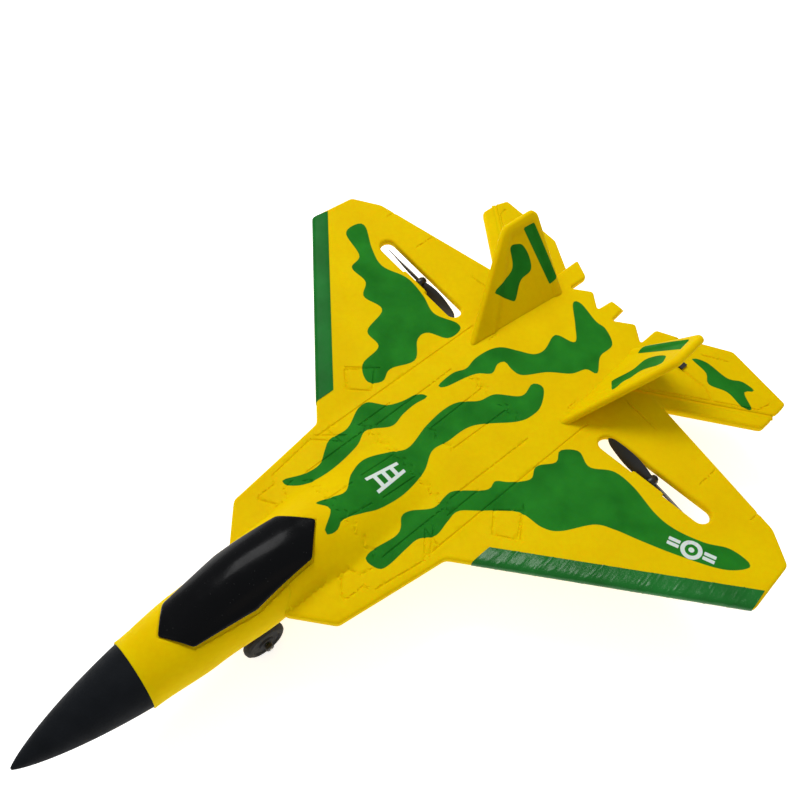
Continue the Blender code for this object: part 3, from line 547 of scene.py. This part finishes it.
def film_material(name, gloss):
    """Adhesive film: glossy green with fine crinkles, and pale patches along the creases that are partly
    scuffs and partly painted sheen, more of them the glossier the film.
    """
    m = Nodes(name)
    crinkle = m.noise(240.0, 6.0, 0.7)
    # Pale whitish green painted into the film's colour in noise patches, scaled by gloss: partly scuffs,
    # partly painted sheen standing in for glints on the crinkles.
    scuff_and_sheen = m.ramp(m.noise(150.0, 6.0, 0.75), 0.64, 0.76, 0.0, 0.34 * gloss)
    patches = m.ramp(m.noise(35.0, 3.0), 0.3, 0.7, 0.0, 1.0)
    tint = m.mix(patches, (0.006, 0.120, 0.012), (0.010, 0.175, 0.022))
    m.colour(m.mix(scuff_and_sheen, tint, (0.16, 0.46, 0.20)))
    m.roughness(m.ramp(crinkle, 0.3, 0.7, 0.38 - 0.22 * gloss, 0.52 - 0.22 * gloss))
    m.set(Specular_IOR_Level=0.01 + 0.16 * gloss, Coat_Weight=0.13 * gloss, Coat_Roughness=0.12)
    m.bump([crinkle, m.cells(150.0, smooth=0.2)], [0.35 * gloss + 0.08, 0.2 * gloss], [0.0008, 0.0010])
    return m.material


FOAM = foam_material("foam_plain", printed=False)
FOAM_PRINTED = foam_material("foam_printed")
FOAM_MARKED = foam_material("foam_marked", white=True)
CONE = cone_material()
CANOPY = canopy_material()
FILM = {1: film_material("film_glossy", 1.0), -1: film_material("film_dull", 0.15)}
NYLON = plain_material("black_nylon", (0.0045, 0.0045, 0.0048), (0.0080, 0.0078, 0.0075), (0.34, 0.50))
TYRE = plain_material("foam_tyre", (0.0055, 0.0055, 0.0055), (0.0095, 0.0092, 0.0090), (0.75, 0.9), 700.0,
                      grain=0.0004)
WHITE = plain_material("white_nylon", (0.72, 0.72, 0.68), (0.64, 0.63, 0.58), (0.35, 0.5))
BLUE = plain_material("blue_case", (0.015, 0.045, 0.30), (0.020, 0.065, 0.38), (0.15, 0.25), coat=0.3)
WRAP = plain_material("cell_wrap", (0.030, 0.110, 0.36), (0.045, 0.140, 0.42), (0.2, 0.35), grain=0.0005)
CIRCUIT = plain_material("circuit_board", (0.010, 0.120, 0.045), (0.015, 0.170, 0.060), (0.2, 0.4))
STEEL = plain_material("bright_steel", (0.62, 0.61, 0.59), (0.50, 0.49, 0.47), (0.18, 0.34), 600.0,
                       metallic=1.0)
CARBON = plain_material("carbon", (0.018, 0.018, 0.018), (0.030, 0.030, 0.030), (0.3, 0.45), 900.0)

FINISHES = {
    "yellow_foam": FOAM, "black_soft_plastic": TYRE, "black_gloss_plastic": CANOPY, "black_plastic": NYLON,
    "white_plastic": WHITE, "blue_plastic": BLUE, "green_film": FILM[-1], "circuit_green": CIRCUIT,
    "battery_wrap": WRAP, "steel": STEEL, "carbon_strip": CARBON}
for entry in frame["record"]["subparts"]:
    node = frame["nodes"][entry["node"]]
    node.data.materials.clear()
    node.data.materials.append(FINISHES[entry["material_slot"]])


# ---------------------------------------------------------------- nose
NOSE_WIDTH = [(CONE_BASE_Y, 20.6), (-130.0, 23.6), (-90.0, 26.2), (NOSE_BACK_Y, 27.0)]
NOSE_TOP = [(CONE_BASE_Y, 16.8), (-147.0, 19.6), (-85.0, 20.4), (NOSE_BACK_Y, 19.4)]
NOSE_BOTTOM = [(CONE_BASE_Y, 20.0), (-120.0, 21.4), (NOSE_BACK_Y, 22.0)]
RIDGE_WIDTH = [(-88.0, 27.0), (-50.0, 31.0), (48.0, 25.0)]
RIDGE_END_Y = 48.0
RIDGE_REACH_X = 56.0
RIDGE_SIDE_FADE, RIDGE_END_FADE = 16.0, 8.0


def nose_ring(y, around, grow=0.0):
    """A cross section of the nose at the station y: an oval, squarer below the waterline."""
    half = smooth_table(y, NOSE_WIDTH) + grow
    up = smooth_table(y, NOSE_TOP) - WATERLINE + grow
    down = smooth_table(y, NOSE_BOTTOM) + WATERLINE + grow
    turn = 2 * np.pi * np.arange(around) / around
    c, s = np.cos(turn), np.sin(turn)
    power = np.where(s >= 0, 1.0, 0.85)
    x = half * np.sign(c) * np.abs(c) ** power
    z = WATERLINE + np.where(s >= 0, up, down) * s
    return np.c_[x, np.full(around, float(y)), z]


def ridge_height(points):
    """The nose's top over the board and the ridge it turns into, whose soft flanks run out on the board."""
    x, y = np.abs(points[:, 0]), points[:, 1]
    fade = np.clip(1.0 - (y - NOSE_BACK_Y) / (RIDGE_END_Y - NOSE_BACK_Y), 0.0, 1.0) ** 1.4
    crest = smooth_table(y, NOSE_TOP) * fade
    oval = WATERLINE + (crest - WATERLINE) * np.sqrt(
        np.maximum(0.0, 1 - (x / smooth_table(y, NOSE_WIDTH)) ** 2))
    across = np.clip(x / smooth_table(y, RIDGE_WIDTH), 0.0, 1.0)
    bell = crest * (1 - across * across) ** 1.35
    turn = smooth_table(y, [(-78.0, 0.0), (-44.0, 1.0)])
    height = (1 - turn) * oval + turn * bell
    blend = 2.6 * (1 - turn) + 0.8
    return 0.5 * (height + np.sqrt(height * height + blend * blend)) - canopy_seat(points)


CANOPY_OUTLINE = CANOPY_HALF + [(-x, y) for x, y in reversed(CANOPY_HALF[1:-1])]


def canopy_seat(points):
    """How deep the foam is sunk under the canopy, with a fine gap just outside its edge."""
    gap = segment_distance(points, CANOPY_OUTLINE, closed=True)
    return np.where(inside(points, CANOPY_OUTLINE), 1.0, np.clip(1.35 - gap / 0.6, 0.0, 1.0))


def shrunk(ring, size, step):
    """The ring drawn in towards the nose's axis and moved along it."""
    return np.c_[ring[:, 0] * size, ring[:, 1] + step, (ring[:, 2] - WATERLINE) * size + WATERLINE]


def build_nose():
    """The foam nose from the seam to behind the canopy, with a rebate round the canopy."""
    around, rows = 180, 190
    rings = []
    for k in range(rows):
        y = CONE_BASE_Y + (NOSE_BACK_Y - CONE_BASE_Y) * k / (rows - 1)
        ring = nose_ring(y, around)
        hidden = float(smooth_table(y, [(-77.0, 0.0), (-64.0, 1.0)]))
        above = np.maximum(0.0, ring[:, 2] - WATERLINE)
        ring[:, 2] -= above * 0.12 * hidden
        ring[:, 0] *= 1 - 0.05 * hidden * (above > 0)
        fade = 1.0 - k / (rows - 1)
        ring[:, 1] += SEAM_RAKE * (ring[:, 2] - WATERLINE) * fade ** 3
        rings.append(ring)
    lip = [shrunk(rings[0], size, step) for size, step in ((0.955, 2.55), (0.955, -0.45), (0.985, -0.35))]
    rings = lip + rings
    points = np.concatenate(rings)
    upper = points[:, 2] > WATERLINE
    plan = points[:, :2]
    points[:, 2] -= np.where(upper, canopy_seat(plan), 0.0)
    obj = mesh_object("nose_foam", points, tube_faces(len(rings), around),
                      fields={"printed": np.where(upper, print_field(plan, CAMO), OFF_PRINT)})
    finish_piece(outward(obj), "airframe", FOAM_PRINTED, ["nose_section"], sharp=50)


def build_canopy():
    """A glossy six-sided shell, crowned along its middle, with a rolled edge."""
    loop = rounded(CANOPY_OUTLINE, 1.6)

    def top(flat):
        y = flat[:, 1]
        half = smooth_table(y, NOSE_WIDTH) + 0.7
        bulge = 5.5 * np.sin(np.pi * np.clip((y + 146.0) / 101.0, 0.0, 1.0))
        sink = smooth_table(y, [(-66.0, 0.0), (-45.0, 1.2)])
        up = smooth_table(y, NOSE_TOP) - WATERLINE + 0.7 + bulge - sink
        return WATERLINE + up * np.sqrt(np.maximum(0.02, 1 - (flat[:, 0] / half) ** 2))

    obj = plate("canopy_shell", loop, [], top, lambda flat: top(flat) - 1.6, edge=0.8, grid=1.3)
    finish_piece(obj, "airframe", CANOPY, ["canopy"])


def build_cone():
    """The soft cone: blunt tip, slightly swollen sides and a rolled edge at the seam."""
    around, rows = 128, 90
    base = nose_ring(CONE_BASE_Y, around, grow=-0.9)
    rings = []
    for k in range(rows):
        t = math.sin(0.5 * math.pi * k / (rows - 1))
        size = max(0.012, (1.0 - 0.99 * t) ** 0.78 * (1.0 + 0.28 * t))
        ring = base.copy()
        ring[:, 0] *= size
        ring[:, 2] = WATERLINE + (base[:, 2] - WATERLINE) * size + t
        ring[:, 1] = (CONE_BASE_Y + (NOSE_Y - CONE_BASE_Y) * t
                      + SEAM_RAKE * (base[:, 2] - WATERLINE) * size * (1 - t))
        rings.append(ring)
    inner = rings[0].copy()
    inner[:, 1] += 2.5
    obj = mesh_object("nose_cone_skin", np.concatenate([inner] + rings), tube_faces(rows + 1, around))
    finish_piece(outward(obj), "airframe", CONE, ["nose_cone"], sharp=60)


# ---------------------------------------------------------------- board, fins and tail
def slot_loop(side):
    """The propeller's slot: round ends, and a shallow bay in its front edge for the motor's boss."""
    radius = SLOT_HALF_WIDTH
    reach = SLOT_HALF_LENGTH - SLOT_HALF_WIDTH
    points = []
    for end, start in ((1, -90), (-1, 90)):
        for k in range(13):
            turn = math.radians(start + 15.0 * k)
            x = MOTOR_X + end * reach + radius * math.cos(turn)
            points.append((x, SLOT_Y + radius * math.sin(turn)))
    front = SLOT_Y - radius
    for x, y in ((-TONGUE_HALF_WIDTH - 0.6, 0), (-TONGUE_HALF_WIDTH, TONGUE_REACH),
                 (TONGUE_HALF_WIDTH, TONGUE_REACH), (TONGUE_HALF_WIDTH + 0.6, 0)):
        points.append((MOTOR_X + x, front + y))
    loop = [(side * x, y) for x, y in points]
    return loop if side > 0 else loop[::-1]


def zigzags():
    """Rows of small steps, a panel joint that runs across the body."""
    chains = []
    for y, swing, start, end in ZIGZAG_ROWS:
        teeth = np.arange(start, end, 4.0)
        for x in teeth[:-1:2]:
            chains.append([(x, y - swing), (x + 3.2, y + swing), (x + 6.0, y - swing * 0.6)])
    return chains


def white_marks(points):
    """Plain white marks: a ring with two bars on the left wing, and a small ladder on the spine."""
    c, s = math.cos(RING_HEADING), math.sin(RING_HEADING)
    local = (points - np.array(RING_MARK)) @ np.array([[c, s], [-s, c]]).T
    far = np.hypot(local[:, 0], local[:, 1])
    ring = np.minimum(6.0 - far, np.maximum(far - 3.6, 1.6 - far))
    u, v = np.abs(local[:, 0]), np.abs(local[:, 1])
    bars = np.minimum(np.minimum(u - 6.8, 13.5 - u), np.minimum(2.6 - v, v - 0.45))
    x, y = np.abs(points[:, 0] - LADDER_MARK[0]), points[:, 1] - LADDER_MARK[1]
    taper = 5.6 - 0.10 * (y + 12.0)
    rails = np.minimum(1.15 - np.abs(x - taper), 11.5 - np.abs(y))
    rungs = [np.minimum(1.3 - np.abs(y - offset), taper - x) for offset in (-6.0, 0.0, 6.0)]
    return np.max([ring, bars, rails, *rungs], axis=0)


def board_top(flat):
    """The board's upper face: the ridge in the middle, and small ring-shaped marks from the mould."""
    top = board_bottom(flat) + BOARD
    end_y = RIDGE_END_Y + RIDGE_END_FADE
    middle = (np.abs(flat[:, 0]) < RIDGE_REACH_X) & (flat[:, 1] < end_y)
    ridge = flat[middle]
    edge = np.clip((end_y - ridge[:, 1]) / RIDGE_END_FADE, 0.0, 1.0)
    flank = np.clip((RIDGE_REACH_X - np.abs(ridge[:, 0])) / RIDGE_SIDE_FADE, 0.0, 1.0)
    top[middle] += ridge_height(ridge) * edge * flank * flank * (3 - 2 * flank)
    for x, y in DIMPLES:
        for side in (1, -1):
            far = np.hypot(flat[:, 0] - side * x, flat[:, 1] - y)
            top -= 0.30 * np.exp(-((far - 1.9) / 0.45) ** 2)
    return top


def board_bottom(flat):
    """The board's lower face: wings raised by the dihedral, and a level tail."""
    return np.where(flat[:, 1] < WING_BACK_Y + 0.1, lift(flat[:, 0]), 0.0) - BOARD


def build_board():
    """Wings, strakes, spine and tail booms: one moulding, engraved and printed."""
    half = [tuple(p) for p in rounded(HALF_BOARD, 2.2, 3)]
    outline = half + [(-x, y) for x, y in reversed(half)]
    one_side = GROOVES + zigzags()
    grooves = one_side + [mirrored(chain) for chain in one_side]
    canopy_back = [(20.0, -99.0), *CANOPY_HALF[3:]]
    marks = [(*RING_MARK, MARK_RADIUS), (*LADDER_MARK, MARK_RADIUS)]
    obj = plate("airframe_foam", outline, [slot_loop(1), slot_loop(-1)], board_top, board_bottom, grooves,
                lambda flat: print_field(flat, CAMO), fine=[canopy_back, mirrored(canopy_back)], dense=marks)
    spots = np.zeros(len(obj.data.vertices) * 3, np.float32)
    obj.data.vertices.foreach_get("co", spots)
    spots = spots.reshape(-1, 3) * 1000.0 - SHIFT
    plan = spots[:, :2]
    upper = spots[:, 2] > board_bottom(plan) + BOARD * 0.5
    white = np.where(upper, white_marks(plan), OFF_PRINT)
    layer = obj.data.attributes.new("white", "FLOAT", "POINT")
    layer.data.foreach_set("value", white.astype(np.float32))
    finish_piece(obj, "airframe", FOAM_MARKED, ["foam_board"], sharp=40)


def hinge_place(side, droop):
    """Moves points given for a level tail surface to where it hangs."""
    direction = Vector((HINGE_B[0] - HINGE_A[0], side * (HINGE_B[1] - HINGE_A[1]), 0)).normalized()
    turn = np.array(Matrix.Rotation(droop, 3, direction))
    pivot = np.array([side * HINGE_A[0], HINGE_A[1], -HINGE_DEPTH])
    return lambda points: (points - pivot) @ turn.T + pivot


def build_elevator(side):
    """A tail surface whose lower front edge is cut back along the hinge line."""
    outline = rounded([(side * x, y) for x, y in ELEVATOR], 2.0, 3)
    if side < 0:
        outline = outline[::-1]
    hinge = np.array([HINGE_B[0] - HINGE_A[0], HINGE_B[1] - HINGE_A[1]])
    hinge = hinge / np.linalg.norm(hinge)

    def ahead(flat):
        return (np.abs(flat[:, 0]) - HINGE_A[0]) * -hinge[1] + (flat[:, 1] - HINGE_A[1]) * hinge[0]

    grooves = [chain if side > 0 else mirrored(chain) for chain in TAIL_GROOVES]
    obj = plate(f"tail_surface_{side_name(side)}", outline, [], lambda flat: np.zeros(len(flat)),
                lambda flat: -np.clip(ahead(flat) - 0.2, 1.2, BOARD - 0.4), grooves,
                lambda flat: print_field(flat, CAMO), edge=1.5, place=hinge_place(side, DROOP[side]))
    body = f"elevator_{side_name(side)}"
    finish_piece(obj, body, FOAM_PRINTED, [body], sharp=40)


def build_hinge_web(side):
    """The thin foam left at the bottom of the hinge groove; it bends with the tail surface."""
    a = np.array([side * HINGE_A[0], HINGE_A[1]])
    b = np.array([side * HINGE_B[0], HINGE_B[1]])
    run = (b - a) / np.linalg.norm(b - a)
    back = np.array([-run[1], run[0]]) * side
    axis = Vector((run[0] * side, run[1] * side, 0))
    length = np.linalg.norm(b - a) - 1.4
    lines, rows = 25, 40
    points = []
    for depth in (-0.25, -1.1):
        for k in range(rows):
            foot = a + run * (0.6 + length * k / (rows - 1))
            for i in range(lines):
                offset = WEB_HALF_WIDTH * (2 * i / (lines - 1) - 1)
                t = min(1.0, max(0.0, (offset + 1.0) / 2.0))
                turn = Matrix.Rotation(DROOP[side] * t * t * (3 - 2 * t), 3, axis)
                bent = turn @ Vector((*(back * offset), depth + HINGE_DEPTH))
                points.append((foot[0] + bent.x, foot[1] + bent.y, bent.z - HINGE_DEPTH))
    faces = []
    count = rows * lines
    for k in range(rows - 1):
        for i in range(lines - 1):
            p = k * lines + i
            quad = (p, p + 1, p + lines + 1, p + lines)
            faces += [quad, tuple(count + q for q in reversed(quad))]
    rim = list(range(lines))
    rim += [k * lines + lines - 1 for k in range(1, rows)]
    rim += [(rows - 1) * lines + i for i in range(lines - 2, -1, -1)]
    rim += [k * lines for k in range(rows - 2, 0, -1)]
    faces += [(p, count + p, count + q, q) for p, q in zip(rim, rim[1:] + rim[:1])]
    name = side_name(side)
    obj = outward(mesh_object(f"hinge_web_{name}", points, faces))
    obj.data.materials.append(FOAM)
    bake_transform(obj)


def fin_frame(side):
    """Stands points given on a fin's own plane up on the board, canted outwards."""
    toe = math.atan2(FIN_TRAIL[0] - FIN_LEAD[0], FIN_TRAIL[1] - FIN_LEAD[1])
    along = np.array([math.sin(toe), math.cos(toe), 0.0])
    out = np.array([math.cos(toe), -math.sin(toe), 0.0])
    up = out * math.sin(FIN_CANT) + np.array([0, 0, 1.0]) * math.cos(FIN_CANT)
    face = np.cross(along, up)
    mirror = np.array([side, 1.0, 1.0])
    origin = np.array([*FIN_LEAD, 0.0])
    return lambda p: (origin + p[:, :1] * along + p[:, 1:2] * up + p[:, 2:] * face) * mirror


FIN_RECESS = [(14.0, -8.0), (72.5, -8.0), (71.5, 54.5), (52.0, 54.0)]
FIN_OUTLINE = [(-3.5, -2.4), (78.5, -2.4), (77.6, 58.0), (74.4, 62.0), (50.0, 60.5), (46.5, 57.5)]


def build_fin(side):
    """A canted fin: a raised, rounded border round a recessed face on both sides."""
    outline = rounded(FIN_OUTLINE, 2.4, 3)

    def face(flat):
        gap = segment_distance(flat, FIN_RECESS, closed=True)
        within = inside(flat, FIN_RECESS)
        depth = np.where(within, np.clip(gap / 1.6, 0.0, 1.0), 0.0)
        relief = 0.75 * depth * depth * (3 - 2 * depth)
        swell = 0.35 * np.exp(-((gap - 2.2) / 1.8) ** 2) * np.where(within, 0.0, 1.0)
        return FIN_THICK / 2 - relief + swell

    name = f"fin_{side_name(side)}"
    obj = plate(name + "_foam", outline, [], face, lambda flat: -face(flat), field=fin_print, edge=2.2,
                grid=1.3, place=fin_frame(side))
    printed = obj.data.attributes["printed"]
    values = np.zeros(len(obj.data.vertices), np.float32)
    printed.data.foreach_get("value", values)
    printed.data.foreach_set("value", np.tile(values[:len(values) // 2], 2))
    finish_piece(obj, "airframe", FOAM_PRINTED, [name], sharp=45)


def fin_print(flat):
    """One soft blob and one straight stripe, printed on both faces."""
    blob = print_field(flat, [FIN_BLOB])
    stripe = print_field(flat, [FIN_STRIPE], smooth=False)
    return np.maximum(blob, stripe)


FILM_ROOT, FILM_TIP = (71.8, 9.0), (191.9, 99.9)
FILM_INNER_SLANT, FILM_OUTER_SLANT = 0.75, 0.55
FILM_CREASES = (0.10, 0.235, 0.42, 0.60, 0.63, 0.715, 0.83, 0.93)
FILM_ROUGHEN = {1: 0.38, -1: 0.14}
# The folded film's section, as (offset behind the leading edge, height): its outer face, then its inner one.
FILM_OUTER = [
    (11.2, 0.18), (9.0, 0.35), (6.0, 0.35), (3.5, 0.33), (1.8, 0.15), (0.9, -0.25), (0.25, -0.9),
    (-0.3, -1.8), (-0.45, -3.0), (-0.3, -4.2), (0.25, -5.1), (0.9, -5.75), (1.8, -6.15), (4.5, -6.4)]
FILM_INNER = [
    (9.0, -6.4), (9.0, -6.15), (4.5, -6.1), (1.8, -5.9), (1.1, -5.5), (0.5, -4.9), (0.1, -4.1), (-0.1, -3.0),
    (0.1, -1.9), (0.5, -1.1), (1.1, -0.5), (1.9, -0.1), (3.5, 0.06), (6.0, 0.06), (11.2, 0.04)]


def film_wave(side, t, offset, depth):
    """How far the film's outer face stands off: fine wrinkles, and sharp creases on the left side."""
    wave = noise.noise(Vector((t * 34.0, offset * 0.45, depth * 0.5 + 7 * side)))
    wave += 0.6 * noise.noise(Vector((t * 110.0, offset * 0.9, depth + 3.0)))
    crease = sum(math.exp(-((t - at - 0.012 * math.sin(offset * 0.9 + 40 * at)) / 0.0035) ** 2)
                 for at in FILM_CREASES)
    return max(0.0, wave) * FILM_ROUGHEN[side] + 0.45 * crease * (side > 0)


def build_film(side):
    """Green film folded round the leading edge, slightly wrinkled where it was stuck down."""
    root, tip = np.array(FILM_ROOT), np.array(FILM_TIP)
    span = np.linalg.norm(tip - root)
    run = (tip - root) / span
    back = np.array([-run[1], run[0]])
    section = FILM_OUTER + FILM_INNER
    rows = 240
    points = []
    for k in range(rows):
        t = k / (rows - 1)
        for i, (offset, depth) in enumerate(section):
            inner = FILM_INNER_SLANT * max(0.0, offset)
            outer = FILM_OUTER_SLANT * max(0.0, offset)
            x, y = root + run * (inner + (span + outer - inner) * t) + back * offset
            wave = film_wave(side, t, offset, depth) if i < len(FILM_OUTER) else 0.0
            points.append((side * x, y, float(lift(x)) + depth + (wave if depth > -3 else -wave)))
    name = side_name(side)
    obj = mesh_object(f"edge_film_{name}", np.array(points), tube_faces(rows, len(section)))
    finish_piece(outward(obj), "airframe", FILM[side], [f"leading_edge_tape_{name}"], sharp=70)


# ---------------------------------------------------------------- propellers
BOSS_PROFILE = [(0.6, -2.6), (2.8, -2.6), (3.1, -2.3), (3.2, 0.0), (3.1, 2.3), (2.8, 2.6), (0.6, 2.6)]


def build_propeller(side):
    """Two twisted blades on a round boss, thin at the tips."""
    name = side_name(side)
    around, rows = 22, 46
    tilt = np.array(Matrix.Rotation(PROP_TILT, 3, "Y"))
    centre = np.array([side * MOTOR_X, PROP_Y, float(lift(MOTOR_X)) - MOTOR_DEPTH])
    turn = 2 * np.pi * np.arange(around) / around
    points, faces = [], []
    for way in (1, -1):
        first = len(points)
        for k in range(rows):
            radius = 1.2 + (PROP_RADIUS - 1.2) * k / (rows - 1)
            t = max(0.0, (radius - 3.0) / (PROP_RADIUS - 3.0))
            chord = 3.2 + 6.6 * math.sin(math.pi * min(1.0, 0.10 + 0.86 * t)) ** 0.8 * (1.0 - 0.25 * t)
            tip = math.sqrt(max(0.0, 1.0 - max(0.0, (t - 0.86) / 0.14) ** 2))
            chord *= max(0.08, tip)
            pitch = math.radians(26.0 * t - 50.0) * side
            thick = (1.5 - 0.9 * t) * max(0.2, tip)
            u = 0.5 * np.cos(turn)
            v = 0.5 * np.sin(turn) * (0.45 + 0.55 * np.sqrt(1 - (2 * u) ** 2))
            across, through = u * chord, v * thick + 0.25 * thick * (1 - (2 * u) ** 2)
            y = across * math.sin(pitch) + through * math.cos(pitch)
            z = across * math.cos(pitch) - through * math.sin(pitch)
            points += [(way * radius, b, way * c) for b, c in zip(y, z)]
        faces += tube_faces(rows, around, first)
    boss, steps = [], 32
    for radius, y in BOSS_PROFILE:
        for k in range(steps):
            a = 2 * math.pi * k / steps
            boss.append((radius * math.cos(a), y, radius * math.sin(a)))
    faces += tube_faces(len(BOSS_PROFILE), steps, len(points))
    points = np.array(points + boss) @ tilt.T + centre
    obj = mesh_object(f"propeller_{name}_blades", points, faces)
    finish_piece(outward(obj), f"propeller_{name}", NYLON, [f"propeller_{name}"], sharp=50)


build_nose()
build_canopy()
build_cone()
build_board()
for side in (1, -1):
    build_fin(side)
    build_elevator(side)
    build_hinge_web(side)
    build_film(side)
    build_propeller(side)


# ---------------------------------------------------------------- stage
LIGHT_TARGET = (0.0, 0.0, 0.04)
CAMERA_PLACE = (0.18386, -0.14367, 0.49690)
CAMERA_AZIMUTH, CAMERA_ELEVATION = 49.106, 56.743
FLOOR_REACH = 40.0
WORLD_STRENGTH = 0.42


def light(name, size, energy, place, colour=(1.0, 1.0, 1.0)):
    lamp = bpy.data.lights.new(name, "AREA")
    lamp.shape = "RECTANGLE"
    lamp.size, lamp.size_y = size
    lamp.energy = energy
    lamp.color = colour
    obj = bpy.data.objects.new(name, lamp)
    bpy.context.scene.collection.objects.link(obj)
    obj.location = place
    aim = Vector(LIGHT_TARGET) - Vector(place)
    obj.rotation_euler = aim.to_track_quat("-Z", "Y").to_euler()


def stage_floor():
    data = bpy.data.meshes.new("floor")
    corners = [(FLOOR_REACH * x, FLOOR_REACH * y, 0) for x, y in ((-1, -1), (1, -1), (1, 1), (-1, 1))]
    data.from_pydata(corners, [], [(0, 1, 2, 3)])
    floor = bpy.data.objects.new("floor", data)
    bpy.context.scene.collection.objects.link(floor)
    m = Nodes("floor_paper")
    m.colour(m.mix(m.ramp(m.noise(6.0, 3.0), 0.3, 0.7, 0.0, 1.0), (0.86, 0.86, 0.86), (0.84, 0.84, 0.84)))
    m.set(Roughness=0.9, Specular_IOR_Level=0.1, Emission_Color=(1.0, 1.0, 1.0, 1.0), Emission_Strength=0.7)
    data.materials.append(m.material)


def camera():
    data = bpy.data.cameras.new("camera")
    data.sensor_width = 36.0
    data.lens = 37.55
    data.shift_x, data.shift_y = -0.0012, 0.00275
    data.clip_start, data.clip_end = 0.01, 50.0
    obj = bpy.data.objects.new("camera", data)
    bpy.context.scene.collection.objects.link(obj)
    obj.location = CAMERA_PLACE
    obj.rotation_euler = (math.radians(90 - CAMERA_ELEVATION), 0.0, math.radians(CAMERA_AZIMUTH))
    bpy.context.scene.camera = obj


stage_floor()
camera()
light("key", (0.8, 0.6), 13.5, (-0.75, 0.30, 1.25))
light("side", (0.9, 0.5), 0.5, (1.1, 0.1, 1.0), colour=(1.0, 0.72, 0.45))
light("fill", (1.0, 0.7), 1.3, (-0.1, -1.0, 1.1))
world = bpy.data.worlds.new("studio")
world.use_nodes = True
world.node_tree.nodes["Background"].inputs["Color"].default_value = (1.0, 1.0, 1.0, 1.0)
world.node_tree.nodes["Background"].inputs["Strength"].default_value = WORLD_STRENGTH
bpy.context.scene.world = world
bpy.context.scene.view_settings.view_transform = "Standard"
